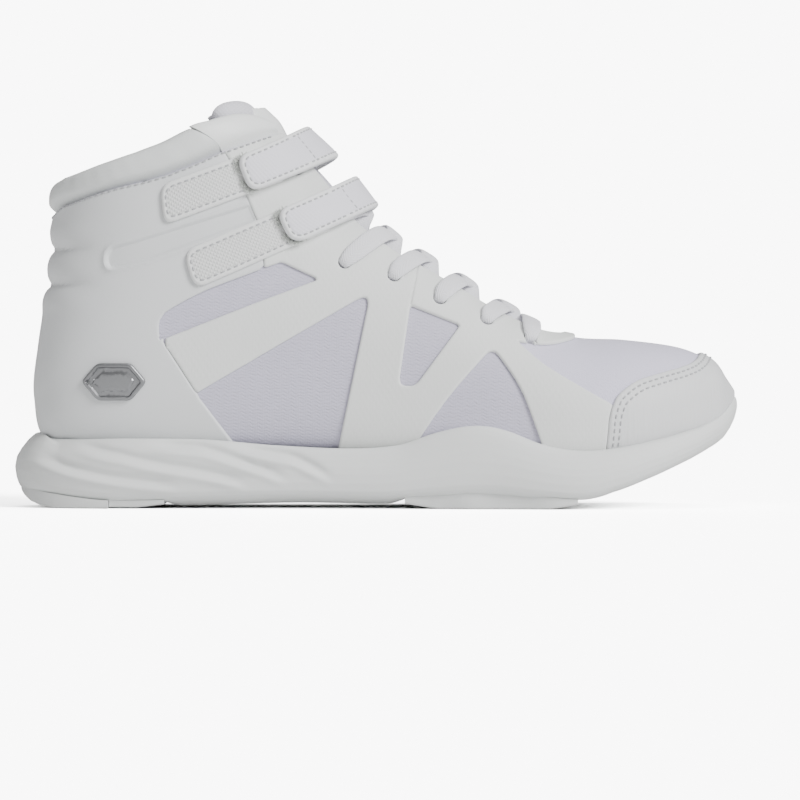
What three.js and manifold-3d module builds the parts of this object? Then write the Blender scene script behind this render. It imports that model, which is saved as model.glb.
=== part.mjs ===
// A right-foot high-top cheer shoe with two hook-and-loop ankle straps, in millimetres.
// +X points to the toe, +Y to the inner (medial) side of the foot and +Z up. The origin is on the
// ground, in the middle of the shoe's bounding box. The upper is drawn as layers over one foot form.
import * as THREE from "three";
import { mergeVertices } from "three/addons/utils/BufferGeometryUtils.js";
import Module from "manifold-3d";

const wasm = await Module();
wasm.setup();

// ---------------------------------------------------------------- driving dimensions
const GAP = 0.3; // clearance between touching pieces
const MESH = 2.2; // thickness of the base mesh of the upper
const OVERLAY = [GAP, 1.5]; // welded overlays, as distances out from the foot form
const BADGE = [1.8, 2.6];
const PAD = [1.8, 3.2]; // loop pads on the quarter
const HOOK = [3.5, 4.5]; // hook patches under the strap tabs
const STRAP = [4.9, 6.6]; // straps where they lie over the pads and the laces
const STRAP_SEWN = [1.9, 3.6]; // straps where they are sewn to the medial side
const LINING = [-6.2, -4.3];
const COUNTER = [-4.0, -2.5];
const COLLAR = [-7.2, 1.7];
const COLLAR_FRONT = [-5.1, 1.6];
const STRAP_WIDTH = 14;
const EYELET_RADIUS = 2.3;
const LACE_RADIUS = 1.25;
const AGLET_RADIUS = 1.1;
const FOLD_GAP = 0.9; // slit at each place where a strap bends
const BOARD = 2.0; // strobel board
const INSOLE = [2.9, 7.4]; // insole's underside and top, above the footbed line

// Sections of the foot form, from the toe tip to the top of the ankle. Each lies in a plane that
// holds the line from its front (or top) point to its back (or bottom) point and the Y direction.
// front x, front z, back x, back z, half width, middle y, where it is widest (0 back, 1 front),
// squareness of the back half (2 is an ellipse)
const SECTIONS = [
  [129.4, 41.5, 129.4, 34.0, 1.5, 8.0, 0.5, 2.4],
  [127.6, 46.2, 127.6, 30.0, 12.0, 7.5, 0.46, 2.5],
  [122.5, 53.0, 122.5, 26.5, 23.0, 6.5, 0.42, 2.7],
  [111.0, 58.2, 112.0, 22.0, 32.0, 4.5, 0.38, 2.9],
  [91.0, 61.0, 93.0, 16.5, 40.0, 2.0, 0.34, 3.0],
  [70.0, 62.5, 72.0, 13.5, 42.8, 0.5, 0.33, 3.0],
  [48.0, 71.0, 45.0, 13.0, 41.0, 0.0, 0.33, 3.0],
  [27.0, 84.0, 10.0, 15.0, 36.5, -1.0, 0.34, 3.0],
  [9.0, 95.0, -35.0, 16.5, 33.5, -0.5, 0.39, 2.9],
  [-3.0, 105.0, -88.0, 15.5, 32.7, 0.0, 0.45, 2.6],
  [-9.5, 113.0, -118.0, 23.0, 32.8, 0.0, 0.47, 2.4],
  [-14.5, 119.5, -124.2, 40.0, 33.2, 0.0, 0.47, 2.3],
  [-20.5, 126.0, -122.6, 60.0, 33.5, 0.0, 0.46, 2.25],
  [-27.5, 132.5, -118.8, 84.0, 33.5, 0.0, 0.46, 2.2],
  [-35.5, 140.0, -117.2, 106.0, 34.2, 0.0, 0.47, 2.2],
  [-45.0, 149.0, -117.5, 126.0, 35.5, 0.0, 0.48, 2.2],
  [-54.0, 158.5, -118.5, 145.0, 36.5, 0.0, 0.49, 2.2],
];
const LAST = SECTIONS.length - 1;
const FRONT_SQUARE = 2.3; // squareness of every section's front half

// Lines in the side view, as [x, z] points.
const FOOTBED = [
  [-130, 22], [-118, 18.5], [-100, 16.5], [-88, 15.7], [-35, 16.5], [10, 15], [45, 13], [72, 13.5],
  [93, 16.5], [112, 22], [122.5, 26.5], [132, 32],
];
const MIDSOLE_TOP = [
  [-134, 30], [-124.2, 28], [-117, 25], [-90, 25.3], [-60, 24.9], [-38, 23], [-10, 21.8], [8, 23],
  [22, 27.6], [35, 30], [46, 28.5], [60, 23.3], [72, 21.2], [86, 22], [104, 25.6], [117, 29.4],
  [126, 33.6], [134, 39],
];
const SOLE_BOTTOM = [
  [-134, 8.6], [-130.7, 7.5], [-119.8, 5.4], [-106.9, 3.5], [-96.7, 2.6], [-75, 2.9], [-30, 4.0],
  [5, 3.7], [20, 4.8], [40, 5.5], [60, 4.2], [75, 3.4], [85, 6], [100, 11.6], [114, 17.8], [127, 24.2],
  [134, 29.5],
];
const COLLAR_LINE = [
  [-130, 102], [-118, 105.5], [-113, 109.5], [-96, 115], [-82, 118.4], [-72, 121.8], [-56, 128.6],
  [-35, 135.8], [-20, 140],
];
const COLLAR_TOP = [
  [-130, 113], [-117, 117.8], [-113, 120], [-100.5, 124], [-87, 128.2], [-77, 132], [-67, 137],
];

// Outline of the sole in plan: x, lateral half width, medial half width.
const SOLE_PLAN = [
  [-127.5, 18, 18], [-115, 28.5, 28.5], [-95, 34.5, 34.5], [-65, 36.5, 36], [-30, 37, 35.5],
  [5, 40.5, 37.5], [35, 44.8, 42], [62, 47, 46.3], [85, 45, 47], [104, 38, 43.5], [119, 26, 35],
  [129, 9.5, 22.5],
];
const HEEL_X = -133;
const TOE = [133, 7];

// Windows of the cage in the side view: corner x, corner z, corner radius.
const WINDOWS = [
  [[-78, 61, 2], [-78.2, 69.5, 5], [-63.3, 78.1, 8], [-34.3, 88.7, 1], [-21.2, 82.5, 1], [-44, 74, 8]],
  [[-64.7, 41.6, 1], [-2.5, 77.6, 6], [-13.5, 22, 1], [-13.5, 15, 1], [-51.5, 15, 1], [-51.5, 24, 1]],
  [[12.3, 72.7, 1], [30.4, 66, 1], [14, 44, 3.5], [7.5, 44, 3]],
  [[41.5, 62, 5], [52, 44, 8], [60.8, 20, 1], [60.8, 12, 1], [10, 12, 1], [10, 20, 1]],
];
const VAMP_WINDOW = [
  [51.5, 59.8, 1], [62, 50, 6], [86, 36.6, 1], [140, 36.6, 1], [140, 80, 1], [72.6, 80, 1],
  [73, 60.8, 6], [62, 58, 4],
];
const TOE_CAP_EDGE = [
  [118.5, 60], [114.3, 52.6], [104.5, 49.1], [94.6, 46.2], [89.7, 43.3], [85.8, 39.3], [83.3, 29.5],
  [82.3, 15],
];
// Front edge of the heel overlay; it runs inside the windows where it meets them.
const HEEL_OVERLAY_EDGE = [
  [-58, 134], [-50, 120], [-46.4, 111.3], [-43, 103], [-40, 84], [-74, 66], [-77.3, 61], [-65, 42],
  [-59, 40], [-47, 22], [-47, 10],
];
// Joins of the base mesh, both hidden under the overlays.
const HEEL_PANEL_X = -84;
const VAMP_SEAM = [[42, 90], [44, 72], [48, 57.5], [56, 43.5], [65, 24], [68, 5]];

const COLLAR_SEAM = [[-69.5, 150], [-67, 137], [-60.5, 134.8], [-55.8, 129], [-53, 120], [-50, 100]];
const COLLAR_FRONT_TOP = [
  [-72, 136], [-63, 138.9], [-55, 141.7], [-49.4, 143], [-43.8, 142.4], [-38, 140], [-34, 135],
  [-30, 128],
];
const LINING_EDGE = [[-52, 134], [-46, 118], [-34, 96], [-24, 78], [-20, 62], [-20, 10]];
const COUNTER_FRONT = -74;
const COUNTER_TOP = [[-150, 62], [-100, 62], [COUNTER_FRONT, 50]];
const TOE_PUFF = [-3.7, -2.5];
const TOE_PUFF_BACK = 101;
const TONGUE_SIDE = [
  [80, 20, 1], [80, 75, 1], [-25, 150, 1], [-31, 136.5, 2], [-37, 141.5, 4], [-46, 145.5, 3],
  [-50, 148.6, 4], [-57, 148.6, 4], [-61, 145, 3], [-66, 136, 3], [-60, 60, 1], [-20, 20, 1],
];
const TONGUE_HALF = 50; // degrees round the form on each side
const TONGUE_INNER = -8.5; // tongue's underside, out from the foot form
const TONGUE_LINING = [-10.3, -8.8];
const BADGE_AT = [-94.1, 46];
const BADGE_CORNERS = [[-11.5, 0], [-6, 6.5], [6, 6.5], [11.5, 0], [6, -6.5], [-6, -6.5]];

// Undersides of the rubber pods in the side view; each pod's top follows the midsole.
const HEEL_POD = [[-130.2, 5.8], [-125.8, 3.1], [-121.6, 1.2], [-117, 0]];
const HEEL_POD_TOP = [-96.7, -106.9, -119.8, -130.5];
const HEEL_FRONT_POD = [[-96, 0.3], [-96, 2.2], [-76.5, 2.5], [-78.5, 0.9], [-84, 0.3]];
const FOREFOOT_POD_TOP = [10.5, 20, 30, 40, 50, 60, 73];

const EYELETS = [
  [-29.5, 122.5], [-19.5, 103], [-11.6, 88.5], [6.2, 83.5], [22.8, 75.1], [39.6, 67.4], [55.5, 60.8],
];

// Straps in the side view: the middle of the band at its rear end, its slope in degrees, and how far
// along the band the pad, the tab, its fold and the sewn anchor reach.
const STRAPS = {
  upper: { start: [-77, 109.3], slope: 20.6, pad: [0, 42], tab: 29.5, fold: 49, sewn: [13, 38] },
  lower: { start: [-67.5, 85.8], slope: 23.5, pad: [0, 50], tab: 36, fold: 55, sewn: [16, 42] },
};

// ---------------------------------------------------------------- small helpers
const degrees = (d) => (d * Math.PI) / 180;
const smooth = (e0, e1, v) => THREE.MathUtils.smoothstep(v, e0, e1);

// Catmull-Rom value of a table's column k at row number t.
function along(table, k, t) {
  const i = Math.min(Math.max(Math.floor(t), 0), table.length - 2);
  const at = (j) => {
    if (j < 0) return 2 * table[0][k] - table[1][k];
    if (j >= table.length) return 2 * table[j - 1][k] - table[j - 2][k];
    return table[j][k];
  };
  const [a, b, c, d, u] = [at(i - 1), at(i), at(i + 1), at(i + 2), t - i];
  return b + (u * (c - a + u * (2 * a - 5 * b + 4 * c - d + u * (3 * (b - c) + d - a)))) / 2;
}

// Height of a side-view line at x.
function height(line, x) {
  let i = line.findIndex((p) => p[0] > x);
  if (i < 0) i = line.length - 1;
  i = Math.max(i, 1);
  const u = THREE.MathUtils.clamp((x - line[i - 1][0]) / (line[i][0] - line[i - 1][0]), 0, 1);
  return along(line, 1, i - 1 + u);
}

function solidOf(geometry) {
  const bare = geometry.index ? geometry.toNonIndexed() : geometry.clone();
  for (const name of Object.keys(bare.attributes)) if (name !== "position") bare.deleteAttribute(name);
  const merged = mergeVertices(bare, 1e-4);
  return new wasm.Manifold(
    new wasm.Mesh({
      numProp: 3,
      vertProperties: merged.attributes.position.array,
      triVerts: new Uint32Array(merged.index.array),
    }),
  );
}

function geometryOf(solid) {
  const mesh = solid.getMesh();
  const position = new Float32Array(mesh.numVert * 3);
  for (let i = 0; i < mesh.numVert; i++) {
    position.set(mesh.vertProperties.subarray(i * mesh.numProp, i * mesh.numProp + 3), i * 3);
  }
  const geometry = new THREE.BufferGeometry();
  geometry.setAttribute("position", new THREE.BufferAttribute(position, 3));
  geometry.setIndex(new THREE.BufferAttribute(new Uint32Array(mesh.triVerts), 1));
  return geometry;
}

// A closed solid from a grid of points: rows x columns, the rows closed rings if ring is true.
function loft(rows, ring, startCap, endCap) {
  const position = [];
  const n = rows[0].length;
  const quad = (a, b, c, d) => position.push(...[a, b, c, a, c, d].flatMap((p) => [p.x, p.y, p.z]));
  for (let i = 0; i + 1 < rows.length; i++) {
    for (let j = 0; j + (ring ? 0 : 1) < n; j++) {
      const k = (j + 1) % n;
      quad(rows[i][j], rows[i][k], rows[i + 1][k], rows[i + 1][j]);
    }
  }
  // A cap joins the two sides of a ring that starts and is halved on the middle line.
  const cap = (row, turned) => {
    for (let j = 0; j < n / 2; j++) {
      const [a, b, c, d] = [row[j], row[(j + 1) % n], row[(n - j - 1 + n) % n], row[(n - j) % n]];
      if (turned) quad(a, d, c, b);
      else quad(a, b, c, d);
    }
  };
  if (startCap) cap(rows[0], true);
  if (endCap) cap(rows[rows.length - 1], false);
  const geometry = new THREE.BufferGeometry();
  geometry.setAttribute("position", new THREE.Float32BufferAttribute(position, 3));
  return geometry;
}

// A mesh's zero-area triangles are dropped and its faces turned outward.
function closed(geometry) {
  const merged = mergeVertices(geometry, 1e-4);
  const index = [];
  for (let i = 0; i < merged.index.count; i += 3) {
    const [a, b, c] = [0, 1, 2].map((k) => merged.index.getX(i + k));
    if (a !== b && b !== c && c !== a) index.push(a, b, c);
  }
  merged.setIndex(index);
  let solid = solidOf(merged);
  if (solid.volume() < 0) {
    for (let i = 0; i < index.length; i += 3) [index[i + 1], index[i + 2]] = [index[i + 2], index[i + 1]];
    merged.setIndex(index);
    solid = solidOf(merged);
  }
  return solid;
}

// ---------------------------------------------------------------- the foot form
const sectionAt = (t) => SECTIONS[0].map((_, k) => along(SECTIONS, k, t));

// Angle a runs round a section: 0 at the front, +90 degrees on the medial side, 180 at the back.
function basePoint(t, a) {
  const [fx, fz, bx, bz, w, y, m, square] = sectionAt(t);
  const [c, s] = [Math.cos(a), Math.sin(a)];
  const power = 2 / (c > 0 ? FRONT_SQUARE : square);
  const reach = m + Math.sign(c) * Math.abs(c) ** power * (c > 0 ? 1 - m : m);
  const across = w * Math.sign(s) * Math.abs(s) ** power;
  return new THREE.Vector3(bx + reach * (fx - bx), y + across, bz + reach * (fz - bz));
}

// A point of the form, moved out along the surface's normal by d.
function formPoint(t, a, d) {
  const e = 0.02;
  const p = basePoint(t, a);
  const alongT = basePoint(Math.min(t + e, LAST), a).sub(basePoint(Math.max(t - e, 0), a));
  const aroundA = basePoint(t, a + e).sub(basePoint(t, a - e));
  return p.addScaledVector(alongT.cross(aroundA).normalize(), -d);
}

// Where a side-view point (x, z) lies on the form: section number and angle, on the medial side.
function locate(x, z) {
  let [low, high] = [0, LAST];
  const side = (t) => {
    const [fx, fz, bx, bz] = sectionAt(t);
    return (fx - bx) * (z - bz) - (fz - bz) * (x - bx);
  };
  for (let i = 0; i < 40; i++) {
    const t = (low + high) / 2;
    if (side(t) > 0) low = t;
    else high = t;
  }
  const t = (low + high) / 2;
  const [fx, fz, bx, bz, , , m, square] = sectionAt(t);
  const reach = ((x - bx) * (fx - bx) + (z - bz) * (fz - bz)) / ((fx - bx) ** 2 + (fz - bz) ** 2);
  const share = THREE.MathUtils.clamp((reach - m) / (reach > m ? 1 - m : m), -1, 1);
  const power = (share > 0 ? FRONT_SQUARE : square) / 2;
  return { t, a: Math.acos(Math.sign(share) * Math.abs(share) ** power) };
}

const FORM_ROWS = 22;
const FORM_COLUMNS = 24;
const forms = new Map();

// The whole foot form as a solid, grown by d.
function form(d) {
  if (!forms.has(d)) {
    const rows = [];
    for (let i = 0; i <= FORM_ROWS; i++) {
      const t = (LAST * i) / FORM_ROWS;
      rows.push(
        Array.from({ length: FORM_COLUMNS }, (_, j) => formPoint(t, (2 * Math.PI * j) / FORM_COLUMNS, d)),
      );
    }
    forms.set(d, closed(loft(rows, true, true, true)));
  }
  return forms.get(d);
}

const shell = ([inner, outer]) => form(outer).subtract(form(inner));

// A patch of the form's surface with thickness: t from t0 to t1, a from a0(t) to a1(t), and d from
// inner(a) to outer(a).
function patch({ t: [t0, t1], a0, a1, inner, outer, rows = 8, columns = 8 }) {
  const ringAt = (t) => {
    const at = (j, d) => {
      const a = THREE.MathUtils.lerp(a0(t), a1(t), j / columns);
      return formPoint(t, a, d(a, t));
    };
    const out = Array.from({ length: columns + 1 }, (_, j) => at(j, outer));
    const back = Array.from({ length: columns + 1 }, (_, j) => at(columns - j, inner));
    return [...out, ...back];
  };
  const grid = Array.from({ length: rows + 1 }, (_, i) => ringAt(t0 + ((t1 - t0) * i) / rows));
  return closed(loft(patchRing(grid), true, true, true));
}

// Turns each ring by one so that its cap pairs the outer points with the inner ones below them.
function patchRing(grid) {
  return grid.map((row) => [...row.slice(row.length - 1), ...row.slice(0, row.length - 1)]);
}

// ---------------------------------------------------------------- side-view cutters
// A closed outline with rounded corners: [x, z, radius] corners.
function roundedShape(corners) {
  const shape = new THREE.Shape();
  const n = corners.length;
  corners.forEach(([x, z, r], i) => {
    const here = new THREE.Vector2(x, z);
    const before = new THREE.Vector2(...corners[(i + n - 1) % n]);
    const after = new THREE.Vector2(...corners[(i + 1) % n]);
    const into = before.sub(here);
    const out = after.sub(here);
    const reach = Math.min(r, into.length() * 0.45, out.length() * 0.45);
    const p = here.clone().addScaledVector(into.normalize(), reach);
    const q = here.clone().addScaledVector(out.normalize(), reach);
    if (i === 0) shape.moveTo(p.x, p.y);
    else shape.lineTo(p.x, p.y);
    shape.quadraticCurveTo(x, z, q.x, q.y);
  });
  return shape;
}

// A side-view shape as a prism from y0 to y1.
function prism(shape, y0 = -80, y1 = 80, curveSegments = 3) {
  const geometry = new THREE.ExtrudeGeometry(shape, { depth: y1 - y0, bevelEnabled: false, curveSegments });
  return closed(geometry.rotateX(Math.PI / 2).translate(0, y1, 0));
}

const polygon = (points) => new THREE.Shape(points.map(([x, z]) => new THREE.Vector2(x, z)));

// Everything above a side-view line moved up by lift, from x0 to x1.
function above(line, lift, x0 = -150, x1 = 150, ceiling = 170) {
  const steps = Math.max(2, Math.round((x1 - x0) / 8));
  const points = Array.from({ length: steps + 1 }, (_, i) => {
    const x = x0 + ((x1 - x0) * i) / steps;
    return [x, height(line, x) + lift];
  });
  return prism(polygon([...points, [x1, ceiling], [x0, ceiling]]));
}

// Everything on the toe side (or the heel side) of a side-view edge that runs from top to bottom.
function beyond(edge, shift, toward) {
  const far = toward > 0 ? 170 : -170;
  const line = edge.map(([x, z]) => [x + shift, z]);
  return prism(polygon([...line, [far, line[line.length - 1][1]], [far, line[0][1]]]));
}

// ---------------------------------------------------------------- sole
// The sole's outline at share s of each side, moved in by inset. s runs from the heel to the toe.
function planPoint(s, lateral, inset) {
  const rows = [[HEEL_X, 0, 0], ...SOLE_PLAN, [TOE[0], -TOE[1], TOE[1]]];
  const k = lateral ? 1 : 2;
  const at = (v) => {
    const sign = lateral ? -1 : 1;
    return new THREE.Vector2(along(rows, 0, v), sign * along(rows, k, v));
  };
  const v = s * (rows.length - 1);
  const p = at(v);
  if (inset === 0) return p;
  const e = 0.05;
  const way = at(Math.min(v + e, rows.length - 1)).sub(at(Math.max(v - e, 0)));
  if (s === 0) way.set(0, lateral ? -1 : 1);
  if (s === 1) way.set(0, lateral ? 1 : -1);
  const normal = new THREE.Vector2(way.y, -way.x).normalize().multiplyScalar(lateral ? 1 : -1);
  return p.addScaledVector(normal, -inset);
}

const PLAN_STEPS = 28;

// One level of the sole: a closed ring of points, heel first, lateral side first.
function planRing(inset, z) {
  const side = (lateral) =>
    Array.from({ length: PLAN_STEPS + 1 }, (_, i) => {
      const s = i / PLAN_STEPS;
      const p = planPoint(s, lateral, typeof inset === "function" ? inset(s) : inset);
      return new THREE.Vector3(p.x, p.y, z(p.x));
    });
  return [...side(true), ...side(false).slice(1, PLAN_STEPS).reverse()];
}

// The midsole's wall: share of its height, then its inset at the heel, the middle and the toe.
const WALL = [
  [0, 2.6, 5.5, 6], [0.12, 1.2, 2.2, 2.8], [0.32, 0.1, 0.4, 1], [0.55, 0.2, 0, 0.2],
  [0.78, 2.6, 0.7, 0.1], [0.93, 6.8, 1.9, 0.9], [1, 9.5, 3.2, 2],
];

function soleBlock() {
  const { lerp } = THREE.MathUtils;
  const bottom = (x) => height(SOLE_BOTTOM, x);
  const top = (x) => height(MIDSOLE_TOP, x);
  const rings = WALL.map(([share, heel, middle, toe]) => {
    const inset = (s) => lerp(lerp(heel, middle, smooth(0.02, 0.3, s)), toe, smooth(0.72, 0.95, s));
    return planRing(inset, (x) => lerp(bottom(x), top(x), share));
  });
  rings.push(planRing(11, (x) => top(x) - 1));
  return closed(loft(rings, true, true, true));
}

function planPrism(inset, z0, z1) {
  return closed(loft([planRing(inset, () => z0), planRing(inset, () => z1)], true, true, true));
}

const footSpace = above(FOOTBED, 0);
const midsole = soleBlock().subtract(form(OVERLAY[1] + GAP).intersect(footSpace));

const pod = (points, inset) => planPrism(inset, -1, 12).intersect(prism(polygon(points)));
const underMidsole = (x) => [x, height(SOLE_BOTTOM, x) - GAP];
const heelOutsole = pod([[HEEL_POD_TOP[0], 0], ...HEEL_POD_TOP.map(underMidsole), ...HEEL_POD], 3.5);
const heelOutsoleFront = pod(HEEL_FRONT_POD, 6);
const forefootOutsole = pod(
  [[22, 0], [10.5, 1.4], ...FOREFOOT_POD_TOP.map(underMidsole), [73, 1.2], [62, 0]],
  6,
);

const strobelBoard = form(-0.4).intersect(above(FOOTBED, GAP)).subtract(above(FOOTBED, BOARD));
const insole = form(-MESH - 0.4)
  .intersect(above(FOOTBED, INSOLE[0]))
  .subtract(above(FOOTBED, INSOLE[1]));

// ---------------------------------------------------------------- upper
const wallBottom = above(FOOTBED, BOARD + GAP);
const liningBottom = above(FOOTBED, INSOLE[1] + GAP);
const aboveCollarLine = above(COLLAR_LINE, 0);

// The throat: the gap between the two eyestay edges, round at its toe end.
const THROAT = { end: 5.05, half: 22, round: 0.55 };
const throatHalf = (t) => {
  const u = THREE.MathUtils.clamp((t - THROAT.end) / THROAT.round, 0.0004, 1);
  return degrees(THROAT.half) * Math.sqrt(1 - (1 - u) ** 2);
};
const throatCut = patch({
  t: [THROAT.end, LAST],
  a0: (t) => -throatHalf(t),
  a1: throatHalf,
  inner: () => -9,
  outer: () => 9,
  rows: 26,
  columns: 4,
});

// Eyelet holes, through the eyestay on both sides.
const eyelets = EYELETS.map(([x, z]) => locate(x, z));
function eyeletHoles() {
  const holes = [];
  for (const { t, a } of eyelets) {
    for (const side of [-1, 1]) {
      const inner = formPoint(t, side * a, -5);
      const outer = formPoint(t, side * a, 5);
      const hole = new THREE.CylinderGeometry(EYELET_RADIUS, EYELET_RADIUS, 10, 10);
      const turn = new THREE.Quaternion().setFromUnitVectors(
        new THREE.Vector3(0, 1, 0),
        outer.clone().sub(inner).normalize(),
      );
      hole.applyQuaternion(turn).translate(...inner.lerp(outer, 0.5).toArray());
      holes.push(solidOf(hole));
    }
  }
  return holes;
}
const holes = eyeletHoles();
const pierce = (solid) => holes.reduce((s, hole) => s.subtract(hole), solid);

const baseUpper = pierce(
  shell([-MESH, 0]).intersect(wallBottom).subtract(aboveCollarLine).subtract(throatCut),
);
const slab = (x0, x1, y0 = -80, y1 = 80) =>
  prism(polygon([[x0, -10], [x1, -10], [x1, 170], [x0, 170]]), y0, y1);
const vampMesh = baseUpper.intersect(beyond(VAMP_SEAM, 0, 1));
const quarter = baseUpper
  .intersect(slab(HEEL_PANEL_X + GAP, 150))
  .intersect(beyond(VAMP_SEAM, -GAP, -1));
const quarterLateral = quarter.intersect(slab(-150, 150, -80, -0.15));
const quarterMedial = quarter.intersect(slab(-150, 150, 0.15, 80));
const heelPanel = baseUpper.intersect(slab(-150, HEEL_PANEL_X));

const overlayShell = shell(OVERLAY).intersect(above(FOOTBED, 4)).subtract(above(COLLAR_LINE, -GAP));
const toeCap = overlayShell.intersect(beyond(TOE_CAP_EDGE, 0, 1));
const windows = [...WINDOWS, VAMP_WINDOW].map((corners) => prism(roundedShape(corners)));
const windowed = windows.reduce((solid, window) => solid.subtract(window), overlayShell);
const heelOverlay = windowed.intersect(beyond(HEEL_OVERLAY_EDGE, 0, -1));
const cage = pierce(
  windowed
    .intersect(beyond(HEEL_OVERLAY_EDGE, GAP, 1))
    .subtract(throatCut)
    .subtract(beyond(TOE_CAP_EDGE, -GAP, 1)),
);

const toePuff = shell(TOE_PUFF).intersect(liningBottom).intersect(slab(TOE_PUFF_BACK, 150));
const heelCounter = shell(COUNTER)
  .intersect(liningBottom)
  .intersect(slab(-150, COUNTER_FRONT))
  .subtract(above(COUNTER_TOP, 0));
const collarLining = shell(LINING)
  .intersect(liningBottom)
  .intersect(beyond(LINING_EDGE, 0, -1))
  .subtract(above(COLLAR_LINE, -1));

const collarBand = (layer) => shell(layer).intersect(above(COLLAR_LINE, 0));
const collarRear = collarBand(COLLAR)
  .subtract(above(COLLAR_TOP, 0))
  .intersect(beyond(COLLAR_SEAM, 0, -1));
const collarFront = collarBand(COLLAR_FRONT)
  .intersect(beyond(COLLAR_SEAM, GAP, 1))
  .subtract(above(COLLAR_FRONT_TOP, 0, -72, 0))
  .subtract(throatCut);
const collarFrontLateral = collarFront.intersect(slab(-150, 150, -80, -1));
const collarFrontMedial = collarFront.intersect(slab(-150, 150, 1, 80));

// ---------------------------------------------------------------- tongue
// Its face is crowned between the eyestays and swells again between the collar's front ends.
const tongueTop = (a, t) => {
  const crown = 3.1 * smooth(0, degrees(17), Math.abs(a));
  const swell = 3 * smooth(13.2, 14.2, t) * (1 - smooth(degrees(12), degrees(20), Math.abs(a)));
  return swell - 2.8 - crown;
};
const tongueShape = prism(roundedShape(TONGUE_SIDE));
const tonguePatch = (inner, outer) =>
  patch({
    t: [4.5, LAST],
    a0: () => -degrees(TONGUE_HALF),
    a1: () => degrees(TONGUE_HALF),
    inner,
    outer,
    rows: 20,
    columns: 12,
  }).intersect(tongueShape);
const tongue = tonguePatch(() => TONGUE_INNER, tongueTop);
const tongueLining = tonguePatch(() => TONGUE_LINING[0], () => TONGUE_LINING[1]);

// ---------------------------------------------------------------- straps
// A band across the side view, from s0 to s1 along it, with corner radii at its two ends.
function band({ start, slope }, s0, s1, width, r0 = 0.01, r1 = 0.01) {
  const [c, s] = [Math.cos(degrees(slope)), Math.sin(degrees(slope))];
  const at = (u, v, r) => [start[0] + c * u - s * v, start[1] + s * u + c * v, r];
  const h = width / 2;
  return roundedShape([at(s0, -h, r0), at(s1, -h, r1), at(s1, h, r1), at(s0, h, r0)]);
}

const LATERAL = [-80, -0.15];
const MEDIAL = [0.15, 80];
const FAR = 90; // past the front of the ankle
const wrap = (inner, outer) =>
  patch({
    t: [8.2, LAST],
    a0: () => degrees(-128),
    a1: () => degrees(100),
    inner,
    outer,
    rows: 8,
    columns: 22,
  });
const strapLift = (k) => (a) =>
  THREE.MathUtils.lerp(STRAP[k], STRAP_SEWN[k], smooth(degrees(44), degrees(62), a));
const strapWrap = wrap(strapLift(0), strapLift(1));
const padWrap = wrap(() => PAD[0], () => PAD[1]);
const hookWrap = wrap(() => HOOK[0], () => HOOK[1]);

function strapPieces(spec) {
  const lateral = (shape) => prism(shape, ...LATERAL, 3);
  const medial = (shape) => prism(shape, ...MEDIAL, 3);
  const whole = prism(band(spec, spec.fold + FOLD_GAP / 2, FAR, STRAP_WIDTH), ...LATERAL);
  const front = prism(band(spec, spec.sewn[1] + FOLD_GAP / 2, FAR, STRAP_WIDTH), -0.15, 80);
  return {
    loop_pad: padWrap.intersect(lateral(band(spec, ...spec.pad, STRAP_WIDTH, 4.5, 1))),
    hook_patch: hookWrap.intersect(
      lateral(band(spec, spec.tab + 1.5, spec.fold - 7, STRAP_WIDTH - 3, 4, 1)),
    ),
    strap_tab: strapWrap.intersect(
      lateral(band(spec, spec.tab, spec.fold - FOLD_GAP / 2, STRAP_WIDTH, 5, 0.01)),
    ),
    strap: strapWrap.intersect(whole.add(front)),
    strap_anchor: strapWrap.intersect(
      medial(band(spec, spec.sewn[0], spec.sewn[1] - FOLD_GAP / 2, STRAP_WIDTH, 3, 0.01)),
    ),
  };
}

// ---------------------------------------------------------------- laces
// A curve that is stepped by its own points, so that no bend is skipped.
class RouteCurve extends THREE.CatmullRomCurve3 {
  getPointAt(u, target) {
    return this.getPoint(u, target);
  }
  getTangentAt(u, target) {
    return this.getTangent(u, target);
  }
  getSpacedPoints(n) {
    return this.getPoints(n);
  }
}

const OVER = 3.15; // middle of a lace that lies on the eyestay
const UNDER = -3.85; // middle of a lace in the channel between the eyestay and the tongue
const lacePoint = (t, a, d, side) => formPoint(t, side * a, d);

// From eyelet i on one side, over the tongue, to under eyelet i + 1 on the other side.
function crossing(i, side, high) {
  const [from, to] = [eyelets[i], eyelets[i + 1]];
  const at = (share) => THREE.MathUtils.lerp(from.t, to.t, share);
  const middle = high ? 2.9 : 0.3;
  return [
    lacePoint(from.t, from.a, UNDER + 0.5, side),
    lacePoint(from.t, from.a, 2.2, side),
    lacePoint(at(0.06), from.a * 0.88, OVER + 0.05, side),
    lacePoint(at(0.25), degrees(22), OVER - 0.1, side),
    lacePoint(at(0.5), 0, middle, side),
    lacePoint(at(0.7), degrees(12.5), -1.4, -side),
    lacePoint(at(0.84), degrees(20.5), UNDER - 0.1, -side),
    lacePoint(at(0.95), to.a * 0.85, UNDER, -side),
  ];
}

// One end of the lace: tucked behind the eyestay, out of the top eyelet and back in over the edge.
function tuckedEnd(side) {
  const [top, second] = eyelets;
  return [
    lacePoint(10.0, degrees(45.5), UNDER, side),
    lacePoint(10.9, degrees(45.5), UNDER, side),
    lacePoint(11.8, degrees(45), UNDER, side),
    lacePoint(top.t + 0.32, degrees(38), UNDER, side),
    lacePoint(top.t + 0.34, degrees(22), UNDER - 0.2, side),
    lacePoint(top.t + 0.31, degrees(16.5), -2.6, side),
    lacePoint(top.t + 0.27, degrees(15.5), 0, side),
    lacePoint(top.t + 0.2, degrees(18), 2.5, side),
    lacePoint(top.t + 0.08, degrees(24), OVER, side),
    lacePoint(top.t, top.a, 2.2, side),
    lacePoint(top.t, top.a, UNDER + 0.5, side),
    lacePoint(THREE.MathUtils.lerp(top.t, second.t, 0.5), (top.a + second.a) / 2, UNDER, side),
  ];
}

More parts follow.
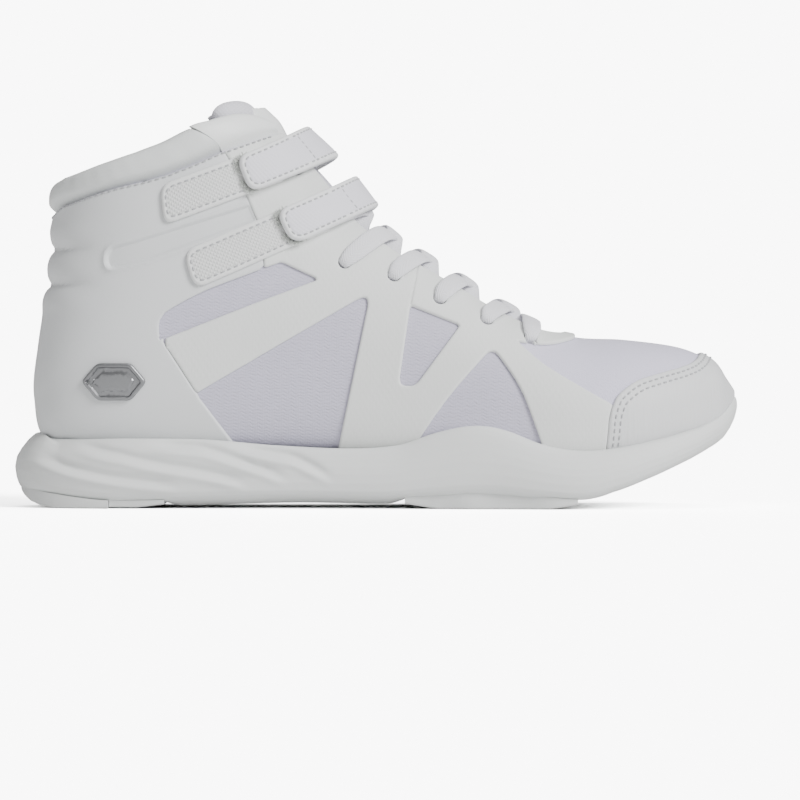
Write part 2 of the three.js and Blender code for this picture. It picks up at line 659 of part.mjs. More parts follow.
function laceRoute() {
  const half = (first) => {
    const points = tuckedEnd(first);
    let side = first;
    for (let i = 1; i + 1 < eyelets.length; i++) {
      points.push(...crossing(i, side, side > 0));
      side = -side;
    }
    const last = eyelets[eyelets.length - 1];
    points.push(lacePoint(last.t, last.a, UNDER + 0.5, side));
    points.push(lacePoint(last.t, last.a, 2.4, side));
    points.push(lacePoint(last.t, last.a * 0.85, OVER + 0.2, side));
    points.push(lacePoint(last.t, last.a * 0.55, OVER, side));
    return points;
  };
  const end = eyelets[eyelets.length - 1];
  return [...half(-1), lacePoint(end.t, 0, 2.4, 1), ...half(1).reverse()];
}

const route = laceRoute();
const LACE_SIDES = 6;
function shoelace() {
  const section = new THREE.Shape(
    Array.from({ length: LACE_SIDES }, (_, i) => {
      const a = (2 * Math.PI * i) / LACE_SIDES;
      return new THREE.Vector2(LACE_RADIUS * Math.cos(a), LACE_RADIUS * Math.sin(a));
    }),
  );
  const extrudePath = new RouteCurve(route, false, "centripetal");
  return closed(new THREE.ExtrudeGeometry(section, { steps: 2 * (route.length - 1), extrudePath }));
}

// The hard tip of a lace, lying below its end behind the eyestay.
function aglet(side) {
  const top = lacePoint(9.9, degrees(45.5), UNDER, side);
  const low = lacePoint(9.25, degrees(46), UNDER, side);
  const body = new THREE.CylinderGeometry(AGLET_RADIUS, AGLET_RADIUS, top.distanceTo(low), 8);
  const up = new THREE.Quaternion().setFromUnitVectors(
    new THREE.Vector3(0, 1, 0),
    top.clone().sub(low).normalize(),
  );
  return solidOf(body.applyQuaternion(up).translate(...top.lerp(low, 0.5).toArray()));
}

// ---------------------------------------------------------------- badges
const badgeShape = roundedShape(BADGE_CORNERS.map(([x, z]) => [BADGE_AT[0] + x, BADGE_AT[1] + z, 1.5]));
const badges = shell(BADGE).intersect(prism(badgeShape));

// ---------------------------------------------------------------- assembly
const material = (color, roughness, metalness = 0) =>
  new THREE.MeshStandardMaterial({ color, roughness, metalness });
const MATERIALS = {
  foam: material("#e4e5e4", 0.62),
  rubber: material("#dfe0df", 0.5),
  mesh: material("#dcdae4", 0.9),
  overlay: material("#e3e5e3", 0.45),
  leather: material("#e2e4e3", 0.4),
  lining: material("#dddce2", 0.95),
  board: material("#d9d6cc", 0.9),
  strap: material("#e2e1e8", 0.5),
  loop: material("#e0e2e0", 0.95),
  hook: material("#cfd3cf", 0.8),
  lace: material("#e0dfe8", 0.9),
  badge: material("#a9aaa9", 0.3, 0.8),
  clear: material("#d5d6d8", 0.3),
};

const shoe = new THREE.Group();

function add(name, solid, finish) {
  const mesh = new THREE.Mesh(geometryOf(solid), MATERIALS[finish]);
  mesh.name = name;
  shoe.add(mesh);
}

add("midsole", midsole, "foam");
add("heel_outsole", heelOutsole, "rubber");
add("heel_outsole_front", heelOutsoleFront, "rubber");
add("forefoot_outsole", forefootOutsole, "rubber");
add("strobel_board", strobelBoard, "board");
add("insole", insole, "lining");
add("vamp_mesh", vampMesh, "mesh");
add("quarter_mesh_lateral", quarterLateral, "mesh");
add("quarter_mesh_medial", quarterMedial, "mesh");
add("heel_panel", heelPanel, "mesh");
add("toe_cap", toeCap, "overlay");
add("toe_puff", toePuff, "board");
add("cage", cage, "overlay");
add("heel_overlay", heelOverlay, "overlay");
add("heel_counter", heelCounter, "board");
add("collar_lining", collarLining, "lining");
add("collar_rear", collarRear, "leather");
add("collar_front_lateral", collarFrontLateral, "leather");
add("collar_front_medial", collarFrontMedial, "leather");
add("tongue", tongue, "mesh");
add("tongue_lining", tongueLining, "lining");
const STRAP_FINISH = {
  loop_pad: "loop",
  hook_patch: "hook",
  strap_tab: "strap",
  strap: "strap",
  strap_anchor: "strap",
};
for (const [place, spec] of Object.entries(STRAPS)) {
  for (const [piece, solid] of Object.entries(strapPieces(spec))) {
    add(`${place}_${piece}`, solid, STRAP_FINISH[piece]);
  }
}
add("shoelace", shoelace(), "lace");
add("aglet_lateral", aglet(-1), "clear");
add("aglet_medial", aglet(1), "clear");
add("badge_lateral", badges.intersect(slab(-150, 150, -80, 0)), "badge");
add("badge_medial", badges.intersect(slab(-150, 150, 0, 80)), "badge");

export default shoe;
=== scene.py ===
import math

import bpy
import numpy as np
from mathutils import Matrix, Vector


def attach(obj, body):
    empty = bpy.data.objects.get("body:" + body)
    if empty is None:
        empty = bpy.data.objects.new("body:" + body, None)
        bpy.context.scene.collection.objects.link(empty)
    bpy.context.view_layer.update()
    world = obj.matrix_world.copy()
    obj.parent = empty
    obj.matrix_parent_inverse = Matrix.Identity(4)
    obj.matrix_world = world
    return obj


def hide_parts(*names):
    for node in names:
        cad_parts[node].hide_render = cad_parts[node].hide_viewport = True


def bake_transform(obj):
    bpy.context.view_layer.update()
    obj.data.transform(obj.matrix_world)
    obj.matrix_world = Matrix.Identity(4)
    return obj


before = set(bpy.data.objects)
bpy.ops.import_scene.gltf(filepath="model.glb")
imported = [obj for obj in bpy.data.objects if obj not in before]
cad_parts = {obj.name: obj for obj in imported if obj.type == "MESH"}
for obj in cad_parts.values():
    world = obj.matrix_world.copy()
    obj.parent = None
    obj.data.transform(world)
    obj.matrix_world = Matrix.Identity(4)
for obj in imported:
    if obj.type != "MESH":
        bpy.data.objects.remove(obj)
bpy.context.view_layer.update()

# ---------------------------------------------------------------- driving dimensions
# Sections of the foot form, toe to ankle: front x, front z, back x, back z, half width, middle y,
# where it is widest (0 back, 1 front), squareness of the back half.
SECTIONS = [
    [130.5, 42.0, 130.5, 34.0, 1.5, 8.0, 0.5, 2.4],
    [127.6, 46.2, 127.6, 30.0, 12.0, 7.5, 0.46, 2.5],
    [122.5, 53.0, 122.5, 26.5, 23.0, 6.5, 0.42, 2.7],
    [111.0, 58.2, 112.0, 22.0, 32.0, 4.5, 0.38, 2.9],
    [91.0, 61.0, 93.0, 16.5, 40.0, 2.0, 0.34, 3.0],
    [70.0, 62.5, 72.0, 13.5, 42.8, 0.5, 0.33, 3.0],
    [48.0, 71.0, 45.0, 13.0, 41.0, 0.0, 0.33, 3.0],
    [27.0, 84.0, 10.0, 15.0, 36.5, -1.0, 0.34, 3.0],
    [9.0, 95.0, -35.0, 16.5, 33.5, -0.5, 0.39, 2.9],
    [-3.0, 105.0, -88.0, 15.5, 32.7, 0.0, 0.45, 2.6],
    [-9.5, 113.0, -118.0, 23.0, 32.8, 0.0, 0.47, 2.4],
    [-14.5, 119.5, -124.2, 40.0, 33.2, 0.0, 0.47, 2.3],
    [-20.5, 126.0, -122.6, 60.0, 33.5, 0.0, 0.46, 2.25],
    [-27.5, 132.5, -118.8, 84.0, 33.5, 0.0, 0.46, 2.2],
    [-35.5, 140.0, -117.2, 106.0, 34.2, 0.0, 0.47, 2.2],
    [-45.0, 149.0, -117.5, 126.0, 35.5, 0.0, 0.48, 2.2],
    [-54.0, 158.5, -118.5, 145.0, 36.5, 0.0, 0.49, 2.2],
]
LAST = len(SECTIONS) - 1
HALVINGS = 34
FRONT_SQUARE = 2.3

FOOTBED = [
    [-130, 22], [-118, 18.5], [-100, 16.5], [-88, 15.7], [-35, 16.5], [10, 15], [45, 13],
    [72, 13.5], [93, 16.5], [112, 22], [122.5, 26.5], [132, 32],
]
MIDSOLE_TOP = [
    [-134, 30], [-124.2, 28], [-117, 25], [-90, 25.3], [-60, 24.9], [-38, 23], [-10, 21.8],
    [8, 23], [22, 27.6], [35, 30], [46, 28.5], [60, 23.3], [72, 21.2], [86, 22], [104, 25.6],
    [117, 29.4], [126, 34.2], [134, 43],
]
SOLE_BOTTOM = [
    [-134, 8.6], [-130.7, 7.5], [-119.8, 5.4], [-106.9, 3.5], [-96.7, 2.6], [-75, 2.9],
    [-30, 4.0], [5, 3.7], [20, 4.8], [40, 5.5], [60, 4.2], [75, 3.4], [85, 6], [100, 11.6],
    [114, 17.8], [127, 24.2], [134, 29.5],
]
COLLAR_LINE = [
    [-130, 102], [-118, 105.5], [-113, 109.5], [-96, 115], [-82, 118.4], [-72, 121.8],
    [-56, 128.6], [-35, 135.8], [-20, 140],
]
COLLAR_TOP = [
    [-130, 113], [-117, 118], [-113, 120], [-100.5, 124], [-87, 128.2], [-77, 132], [-67, 137],
    [-60, 140.2],
]
COLLAR_FRONT_TOP = [
    [-74, 134], [-66, 138.3], [-60, 140.2], [-56, 141.6], [-50.5, 143], [-45, 142.6], [-39, 139.9],
    [-34, 136], [-28, 130],
]
SOLE_PLAN = [  # x, lateral half width, medial half width
    [-127.5, 18, 18], [-115, 28.5, 28.5], [-95, 34.5, 34.5], [-65, 36.5, 36], [-30, 37, 35.5],
    [5, 40.5, 37.5], [35, 44.8, 42], [62, 47, 46.3], [85, 45, 47], [104, 38, 43.5],
    [119, 26, 35], [129, 9.5, 22.5],
]
HEEL_X = -133
TOE = (133, 7)

# Side-view outlines as corner x, corner z, corner radius.
WINDOWS = [
    [[-78, 60.6, 1.5], [-78.4, 69.5, 5], [-63.3, 78.1, 12], [-34.3, 88.9, 1], [-20.8, 82.5, 1],
     [-44, 74, 12]],
    [[-64.9, 41.6, 1.5], [-35, 59, 10], [-2, 78, 6], [-10, 39, 14], [-13.7, 22, 1], [-13.7, 15, 1],
     [-51.5, 15, 1], [-51.5, 24, 1]],
    [[12.3, 73, 1], [30.2, 65.8, 1], [14, 44, 3.5], [8.2, 44.5, 3]],
    [[41.8, 58, 4], [52, 44, 8], [60.8, 20, 1], [60.8, 12, 1], [8, 12, 1], [12, 20, 1],
     [25.8, 40.3, 10]],
]
VAMP_WINDOW = [
    [50.6, 59.9, 1], [60, 51.5, 6], [75, 42.8, 6], [86, 36.8, 1], [140, 36.6, 1], [140, 80, 1],
    [73.4, 80, 1], [73.2, 61.2, 3], [62, 58.3, 6],
]
TOE_CAP_EDGE = [
    [118.5, 56], [116.8, 54], [114, 52], [109.3, 50.3], [104.6, 49.1], [99.5, 47.7],
    [94.6, 46.2], [89.7, 43.3], [85.8, 39.3], [83.3, 29.5], [82.3, 20],
]
HEEL_EDGE = [
    [-58, 134], [-50, 120], [-46.4, 111.3], [-43, 103], [-40, 84], [-74, 66], [-77.3, 61],
    [-65, 42], [-59, 40], [-47, 22], [-47, 8],
]
SLOT = [
    [-96.6, 86.2, 3.8], [-96.6, 93.6, 3.8], [-87, 95.9, 6], [-40, 110.9, 1], [-40, 105.5, 1],
    [-84, 89.2, 6],
]
HEEL_PANEL_X = -84
VAMP_SEAM = [[42, 90], [44, 72], [48, 57.5], [56, 43.5], [65, 24], [68, 5]]
EYELETS = [
    [-29.5, 122.5], [-19.5, 103], [-11.6, 88.5], [6.2, 83.5], [22.8, 75.1], [39.6, 67.4],
    [55.5, 60.8],
]
EYELET_RADIUS = 2.3
THROAT_END, THROAT_HALF, THROAT_ROUND = 5.05, math.radians(22), 0.55

# Straps in the side view: middle of the band's rear end, slope, and distances along the band.
STRAPS = {
    "upper": dict(start=(-77, 109.3), slope=20.6, pad=(0, 42), tab=29.5, fold=49, stitch=51,
                  sewn=(13, 38)),
    "lower": dict(start=(-67.5, 85.8), slope=23.5, pad=(0, 50), tab=36, fold=55, stitch=58.6,
                  sewn=(16, 42)),
}
STRAP_WIDTH = 14.0

# Layers, as distances out from the foot form.
MESH_LAYER = (-2.2, 0.0)
OVERLAY = (0.2, 1.35)
PAD = (1.5, 3.3)
HOOK = (3.5, 4.7)
STRAP = (4.8, 6.8)
STRAP_SEWN = (1.7, 3.7)
LINING = (-6.2, -4.3)
BADGE = (1.5, 2.9)

STITCH_PITCH = 2.6
STITCH = (1.75, 0.34)  # length, radius
TOE_STITCH_INSETS = (2.1, 4.1)
PAD_SEAM, STRAP_SEAM = 1.7, 1.6  # from the pad's and the strap's edge
LACE_WIDTH, LACE_THICK = 7.5, 1.7
AGLET = (2.4, 2.0)  # width, thickness

# Padded parts, as depths out from the foot form: inner, outer.
COLLAR_REAR = (-7.6, 2.9)
COLLAR_FRONT = (-4.9, 1.7)
COLLAR_FRONT_END = math.radians(23.5)
TONGUE_FRONT = (-8.5, -5.9)
TONGUE_TIP = (-6.2, -5.2)
TONGUE_BACK = (-10.4, -8.6)
TONGUE_SIDE, TONGUE_BACK_SIDE, TONGUE_TIP_SIDE = 49, 49.5, 46  # degrees from the middle
TONGUE_TIP_FROM = 13.3  # section where the leather end starts
ROLL_SIZE = (0.36, 3.6)  # half height in sections, half thickness
INSOLE_LOW, INSOLE_HIGH, INSOLE_CROWN = 3.1, 6.4, 1.0  # above the footbed
INSOLE_GAP = -2.7
ARCH_LIFT = 2.0  # how much lower the midsole's bottom is between the heel and forefoot pads
PILE_COUNT, PILE_LENGTH, PILE_RADIUS = 420, 1.5, 0.11
BADGE_AT, BADGE_HALF = (-94.1, 46), (11.6, 6.6)


# ---------------------------------------------------------------- maths
def smooth(e0, e1, v):
    u = np.clip((np.asarray(v, float) - e0) / (e1 - e0), 0, 1)
    return u * u * (3 - 2 * u)


def catmull(rows, t):
    rows = np.asarray(rows, float)
    t = np.atleast_1d(np.asarray(t, float))
    ext = np.vstack([2 * rows[0] - rows[1], rows, 2 * rows[-1] - rows[-2]])
    i = np.clip(np.floor(t).astype(int), 0, len(rows) - 2)
    u = (t - i)[:, None]
    a, b, c, d = ext[i], ext[i + 1], ext[i + 2], ext[i + 3]
    return b + u * (c - a + u * (2 * a - 5 * b + 4 * c - d + u * (3 * (b - c) + d - a))) / 2


def height(line, x):
    """Height of a side-view line at x."""
    line = np.asarray(line, float)
    x = np.asarray(x, float)
    i = np.clip(np.searchsorted(line[:, 0], x), 1, len(line) - 1)
    u = np.clip((x - line[i - 1, 0]) / (line[i, 0] - line[i - 1, 0]), 0, 1)
    return catmull(line, (i - 1 + u).ravel())[:, 1].reshape(x.shape)


def bisect(low, high, ahead):
    """Where ahead(t) turns from true to false, between low and high."""
    for _ in range(HALVINGS):
        t = (low + high) / 2
        still = ahead(t)
        low, high = np.where(still, t, low), np.where(still, high, t)
    return t


def reaches(points):
    """Distance of each point along a line of points."""
    return np.concatenate([[0], np.cumsum(np.linalg.norm(np.diff(points, axis=0), axis=1))])


def sampled(at, reach, rows):
    """The rows at given distances, interpolated column by column."""
    return np.stack([np.interp(at, reach, column) for column in rows.T], 1)


def base(t, a):
    """Point of the foot form at section t and angle a: 0 front, +90 degrees medial, 180 back."""
    shrink = np.clip(1 + 2 * np.minimum(t, 0), 0.01, 1)  # below section 0 the toe tip closes
    row = catmull(SECTIONS, np.clip(t, 0, LAST))
    fx, fz, bx, bz, w, y, m, square = row.T
    c, s = np.cos(a), np.sin(a)
    power = 2 / np.where(c > 0, FRONT_SQUARE, square)
    reach = m + np.sign(c) * np.abs(c) ** power * np.where(c > 0, 1 - m, m) * shrink
    across = w * np.sign(s) * np.abs(s) ** power * shrink
    return np.stack([bx + reach * (fx - bx), y + across, bz + reach * (fz - bz)], 1)


def unit(v):
    return v / np.maximum(np.linalg.norm(v, axis=-1, keepdims=True), 1e-12)


def normal(t, a):
    e = 0.02
    dt = base(np.minimum(t + e, LAST), a) - base(np.maximum(t - e, -0.49), a)
    da = base(t, a + e) - base(t, a - e)
    return -unit(np.cross(dt, da))


def form(t, a, d):
    t, a, d = np.broadcast_arrays(*(np.atleast_1d(np.asarray(v, float)) for v in (t, a, d)))
    return base(t, a) + normal(t, a) * d[:, None]


def locate(x, z):
    """Section and medial angle of side-view points."""
    x, z = (np.atleast_1d(np.asarray(v, float)) for v in (x, z))

    def over(t):
        fx, fz, bx, bz = catmull(SECTIONS, t).T[:4]
        return (fx - bx) * (z - bz) - (fz - bz) * (x - bx) > 0

    t = bisect(np.zeros_like(x), np.full_like(x, LAST), over)
    fx, fz, bx, bz, _, _, m, square = catmull(SECTIONS, t).T
    reach = ((x - bx) * (fx - bx) + (z - bz) * (fz - bz)) / ((fx - bx) ** 2 + (fz - bz) ** 2)
    share = np.clip((reach - m) / np.where(reach > m, 1 - m, m), -1, 1)
    power = np.where(share > 0, FRONT_SQUARE, square) / 2
    return t, np.arccos(np.sign(share) * np.abs(share) ** power)


def rounded(corners, steps=5):
    """A closed outline with its corners rounded, as points."""
    pts = []
    n = len(corners)
    for i, (x, z, r) in enumerate(corners):
        here = np.array([x, z], float)
        back = np.array(corners[i - 1][:2], float) - here
        ahead = np.array(corners[(i + 1) % n][:2], float) - here
        reach = min(r, np.linalg.norm(back) * 0.45, np.linalg.norm(ahead) * 0.45)
        p, q = here + unit(back) * reach, here + unit(ahead) * reach
        for u in np.linspace(0, 1, steps):
            pts.append((1 - u) ** 2 * p + 2 * u * (1 - u) * here + u * u * q)
    return np.array(pts)


def inside(outline, x, z):
    """Signed distance in the plane to a closed outline, positive inside."""
    a = np.asarray(outline)
    b = np.roll(a, -1, axis=0)
    p = np.stack([x, z], 1)
    best = np.full(len(p), 1e9)
    odd = np.zeros(len(p), bool)
    for (ax, az), (bx, bz) in zip(a, b):
        e = np.array([bx - ax, bz - az])
        w = p - (ax, az)
        u = np.clip((w @ e) / max(e @ e, 1e-9), 0, 1)
        best = np.minimum(best, np.linalg.norm(w - u[:, None] * e, axis=1))
        if az != bz:
            cross = (az > p[:, 1]) != (bz > p[:, 1])
            odd ^= cross & (p[:, 0] < (bx - ax) * (p[:, 1] - az) / (bz - az) + ax)
    return np.where(odd, best, -best)


# ---------------------------------------------------------------- meshes
def make(name, points, faces, lay, finish, body, nodes=(), smooth_shade=True):
    """A mesh object from points in millimetres; lay is each point's place in its own material."""
    mesh = bpy.data.meshes.new(name)
    mesh.from_pydata((np.asarray(points) / 1000).tolist(), [], [list(map(int, f)) for f in faces])
    mesh.validate()
    layer = mesh.attributes.new("lay", "FLOAT_VECTOR", "POINT")
    flat = np.zeros((len(mesh.vertices), 3), np.float32)
    lay = np.asarray(lay, np.float32)
    flat[:, : lay.shape[1]] = lay
    layer.data.foreach_set("vector", flat.ravel())
    mesh.materials.append(finish)
    if smooth_shade:
        mesh.shade_smooth()
    mesh.update()
    obj = bpy.data.objects.new(name, mesh)
    bpy.context.scene.collection.objects.link(obj)
    if body:
        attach(obj, body)
    if nodes:
        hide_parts(*nodes)
    return obj


def sharpen(obj, degrees=38):
    obj.data.set_sharp_from_angle(angle=math.radians(degrees))
    return obj


def cut(V, T, s, level):
    """Splits triangles along the line where s is level."""
    f = s - level
    f = np.where(np.abs(f) < 1e-6, 1e-6, f)
    side = f > 0
    n = side[T].sum(1)
    mixed = T[(n == 1) | (n == 2)]
    if not len(mixed):
        return V, T, s
    lone = (side[mixed].sum(1) == 1)[:, None]
    first = np.argmax(side[mixed] == lone, axis=1)
    turned = mixed[np.arange(len(mixed))[:, None], (first[:, None] + [0, 1, 2]) % 3]
    a, b, c = turned.T
    total = len(V)
    keys = np.concatenate([np.minimum(a, b) * total + np.maximum(a, b),
                           np.minimum(a, c) * total + np.maximum(a, c)])
    uniq, inverse = np.unique(keys, return_inverse=True)
    lo, hi = uniq // total, uniq % total
    w = (f[lo] / (f[lo] - f[hi]))[:, None]
    p, q = total + inverse[: len(a)], total + inverse[len(a):]
    T = np.vstack([T[(n == 0) | (n == 3)], np.stack([a, p, q], 1), np.stack([p, b, c], 1),
                   np.stack([p, c, q], 1)])
    V = np.vstack([V, V[lo] + (V[hi] - V[lo]) * w])
    return V, T, np.concatenate([s, np.full(len(uniq), float(level))])


def compact(V, T, *more):
    used, index = np.unique(T, return_inverse=True)
    return (V[used], index.reshape(T.shape), *(m[used] for m in more))


def trimmed(V, T, s, levels):
    """The part of a sheet where s is positive, with edges along the given levels of s."""
    V, T, s = cut(V, T, s, 0)
    V, T, s = compact(V, T[s[T].mean(1) > 0], s)
    for level in levels:
        V, T, s = cut(V, T, s, level)
    return compact(V, T, s)


def lattice(ps, qs):
    """Triangles over a grid of two parameters."""
    P, Q = np.meshgrid(ps, qs, indexing="ij")
    V = np.stack([P.ravel(), Q.ravel()], 1)
    i, j = np.meshgrid(np.arange(len(ps) - 1), np.arange(len(qs) - 1), indexing="ij")
    k = (i * len(qs) + j).ravel()
    m = len(qs)
    T = np.vstack([np.stack([k, k + 1, k + m + 1], 1), np.stack([k, k + m + 1, k + m], 1)])
    return V, T


def solid(T, top, bottom):
    """Closes a sheet of triangles into a solid: its top, its turned-over bottom and its rim."""
    edges = np.vstack([T[:, [0, 1]], T[:, [1, 2]], T[:, [2, 0]]])
    total = len(top)
    keys = edges[:, 0] * total + edges[:, 1]
    rim = edges[~np.isin(keys, edges[:, 1] * total + edges[:, 0])]
    a, b = rim.T
    points = np.vstack([top, bottom])
    faces = np.vstack([T, T[:, ::-1] + total, np.stack([a, a + total, b + total], 1),
                       np.stack([a, b + total, b], 1)])
    return points, faces


def volume(points, triangles):
    """Six times the volume that triangles enclose, negative if they face inwards."""
    a, b, c = (points[triangles[:, k]] for k in range(3))
    return np.einsum("ij,ij->", a, np.cross(b, c))


def outward(points, triangles):
    """The triangles, all turned over if they face inwards."""
    return triangles if volume(points, triangles) > 0 else triangles[:, ::-1]


def oriented(points, faces):
    """The same for a list of faces with any number of corners."""
    fans = [(f[0], f[k], f[k + 1]) for f in faces for k in range(1, len(f) - 1)]
    return faces if volume(points, np.array(fans)) > 0 else [tuple(reversed(f)) for f in faces]


def walls(first, rings, n):
    """Four-cornered faces between rings of n points, numbered from first."""
    faces = []
    for i in range(rings - 1):
        for k in range(n):
            a, b = first + i * n + k, first + i * n + (k + 1) % n
            faces.append((a, b, b + n, a + n))
    return faces


def tube(rings, first=0):
    """Closed rings of equal count as a tube with flat ends: its faces, numbered from first."""
    n = len(rings[0])
    last = first + (len(rings) - 1) * n
    ends = [tuple(first + k for k in reversed(range(n))), tuple(last + k for k in range(n))]
    return walls(first, len(rings), n) + ends


def closed_tube(rings):
    """Points and outward faces of a tube with flat ends."""
    points = np.vstack(rings)
    return points, oriented(points, tube(rings))


def rim_profile(s, radius, start=0.35):
    u = np.clip(s / radius, 0, 1)
    return start + (1 - start) * np.sqrt(np.clip(1 - (1 - u) ** 2, 0, 1))


# ---------------------------------------------------------------- panels on the foot form
def rows_between(t0, t1, step):
    """Section numbers from t0 to t1, no more than step millimetres apart anywhere."""
    rows = [t0]
    knots = [k for k in range(math.floor(t0) + 1, math.ceil(t1))]
    for lo, hi in zip([t0, *knots], [*knots, t1]):
        ends = catmull(SECTIONS, [max(lo, 0), hi])
        span = max(np.hypot(*(ends[1, :2] - ends[0, :2])), np.hypot(*(ends[1, 2:4] - ends[0, 2:4])),
                   abs(ends[1, 4] - ends[0, 4]), 2)
        rows.extend(np.linspace(lo, hi, max(2, math.ceil(span / step) + 1))[1:])
    return np.array(rows)


def distance(field, V):
    """The field's distance on the surface, in millimetres, from its value and its slope."""
    t, a = V.T
    e = 0.01
    here, up, round_ = base(t, a), base(t + e, a), base(t, a + e)
    f = field(t, a, here)
    ft, fa = (field(t + e, a, up) - f) / e, (field(t, a + e, round_) - f) / e
    pt, pa = (up - here) / e, (round_ - here) / e
    E, F, G = (pt * pt).sum(1), (pt * pa).sum(1), (pa * pa).sum(1)
    slope = np.sqrt(np.maximum((G * ft**2 - 2 * F * ft * fa + E * fa**2), 1e-12)
                    / np.maximum(E * G - F * F, 1e-9))
    return f / np.clip(slope, 0.05, 60)


def lay_side(P, t, a):
    return P[:, [0, 2]]


def lay_top(P, t, a):
    return P[:, [0, 1]]


def lay_round(P, t, a):
    return np.stack([a * 34, P[:, 2]], 1)


def panel(name, t_range, a_range, step, field, layer, finish, nodes=(), rim=0.8,
          levels=(0.12, 0.4, 0.8), lay=lay_side, shape=None, extra=(), body="shoe"):
    """A solid sheet on the foot form where field is positive; shape adds height to its top."""
    a0, a1 = map(math.radians, a_range)
    qs = np.linspace(a0, a1, max(3, math.ceil((a1 - a0) * 38 / step)))
    V, T = lattice(rows_between(*t_range, step), qs)
    V, T, s = trimmed(V, T, distance(field, V), levels)
    for other, level in extra:
        g = distance(other, V)
        V2, T, _ = cut(V, T, g, level)
        fresh = V2[len(V):]
        s = np.concatenate([s, np.maximum(distance(field, fresh), 0)])
        V = V2
    V, T, s = compact(V, T, s)
    t, a = V.T
    here = base(t, a)
    lift = layer[0] + (layer[1] - layer[0]) * rim_profile(s, rim)
    if shape is not None:
        lift = lift + shape(t, a, here, s)
    points, faces = solid(T, form(t, a, lift), form(t, a, layer[0]))
    points_lay = lay(here, t, a)
    obj = make(name, points, outward(points, faces), np.vstack([points_lay, points_lay]), finish,
               body, nodes)
    return sharpen(obj)


def throat(t, a, P):
    u = np.clip((t - THROAT_END) / THROAT_ROUND, 0, 1)
    half = THROAT_HALF * np.sqrt(1 - (1 - u) ** 2)
    open_ = (np.abs(a) - half) * 34
    return np.where(t < THROAT_END, np.maximum(open_, (THROAT_END - t) * 20), open_)


eyelet_t, eyelet_a = locate(*np.array(EYELETS, float).T)
eyelet_at = np.vstack([base(eyelet_t, eyelet_a), base(eyelet_t, -eyelet_a)])


def eyelets(t, a, P):
    return np.min([np.linalg.norm(P - c, axis=1) for c in eyelet_at], axis=0) - EYELET_RADIUS


def above(line, lift=0):
    return lambda t, a, P: P[:, 2] - height(line, P[:, 0]) - lift


def below(line, lift=0):
    return lambda t, a, P: height(line, P[:, 0]) + lift - P[:, 2]


def both(*fields):
    return lambda t, a, P: np.min([f(t, a, P) for f in fields], axis=0)


def outside(corners):
    outline = rounded(corners)
    return lambda t, a, P: -inside(outline, P[:, 0], P[:, 2])


def within(corners):
    outline = rounded(corners)
    return lambda t, a, P: inside(outline, P[:, 0], P[:, 2])


def toward(edge, shift, sign):
    """Side of a top-to-bottom side-view edge: sign +1 toward the toe, -1 toward the heel."""
    far = 400 * sign
    outline = np.array([[x + shift, z] for x, z in edge])
    outline = np.vstack([[outline[0, 0], 300], outline, [outline[-1, 0], -100], [far, -100], [far, 300]])
    return lambda t, a, P: inside(outline, P[:, 0], P[:, 2])


cap_a = locate(*np.array(TOE_CAP_EDGE, float).T)[1]
cap_a[0] = 0


def cap_edge_x(a):
    """Where the toe cap's rear edge is along X, falling steadily from the middle to the sides."""
    order = np.argsort(cap_a)
    turns, x = cap_a[order], np.array(TOE_CAP_EDGE)[order, 0]
    slope = np.diff(x) / np.diff(turns)
    lean = np.concatenate([[0], 2 / (1 / slope[:-1] + 1 / slope[1:]), slope[-1:]])
    turn = np.abs((a + math.pi) % (2 * math.pi) - math.pi)
    i = np.clip(np.searchsorted(turns, turn) - 1, 0, len(turns) - 2)
    width = turns[i + 1] - turns[i]
    u = np.clip((turn - turns[i]) / width, 0, 1)
    ease = u * u * (3 - 2 * u)
    bend = width * u * (1 - u) * (lean[i] * (1 - u) - lean[i + 1] * u)
    return x[i] + (x[i + 1] - x[i]) * ease + bend


def toe_side(shift, sign):
    return lambda t, a, P: sign * (P[:, 0] - cap_edge_x(a) - shift)


def x_between(x0, x1):
    return lambda t, a, P: np.minimum(P[:, 0] - x0, x1 - P[:, 0])


# ---------------------------------------------------------------- materials
def srgb(r, g, b):
    """A colour from 8-bit display values."""
    return tuple(((v / 255 + 0.055) / 1.055) ** 2.4 for v in (r, g, b)) + (1,)


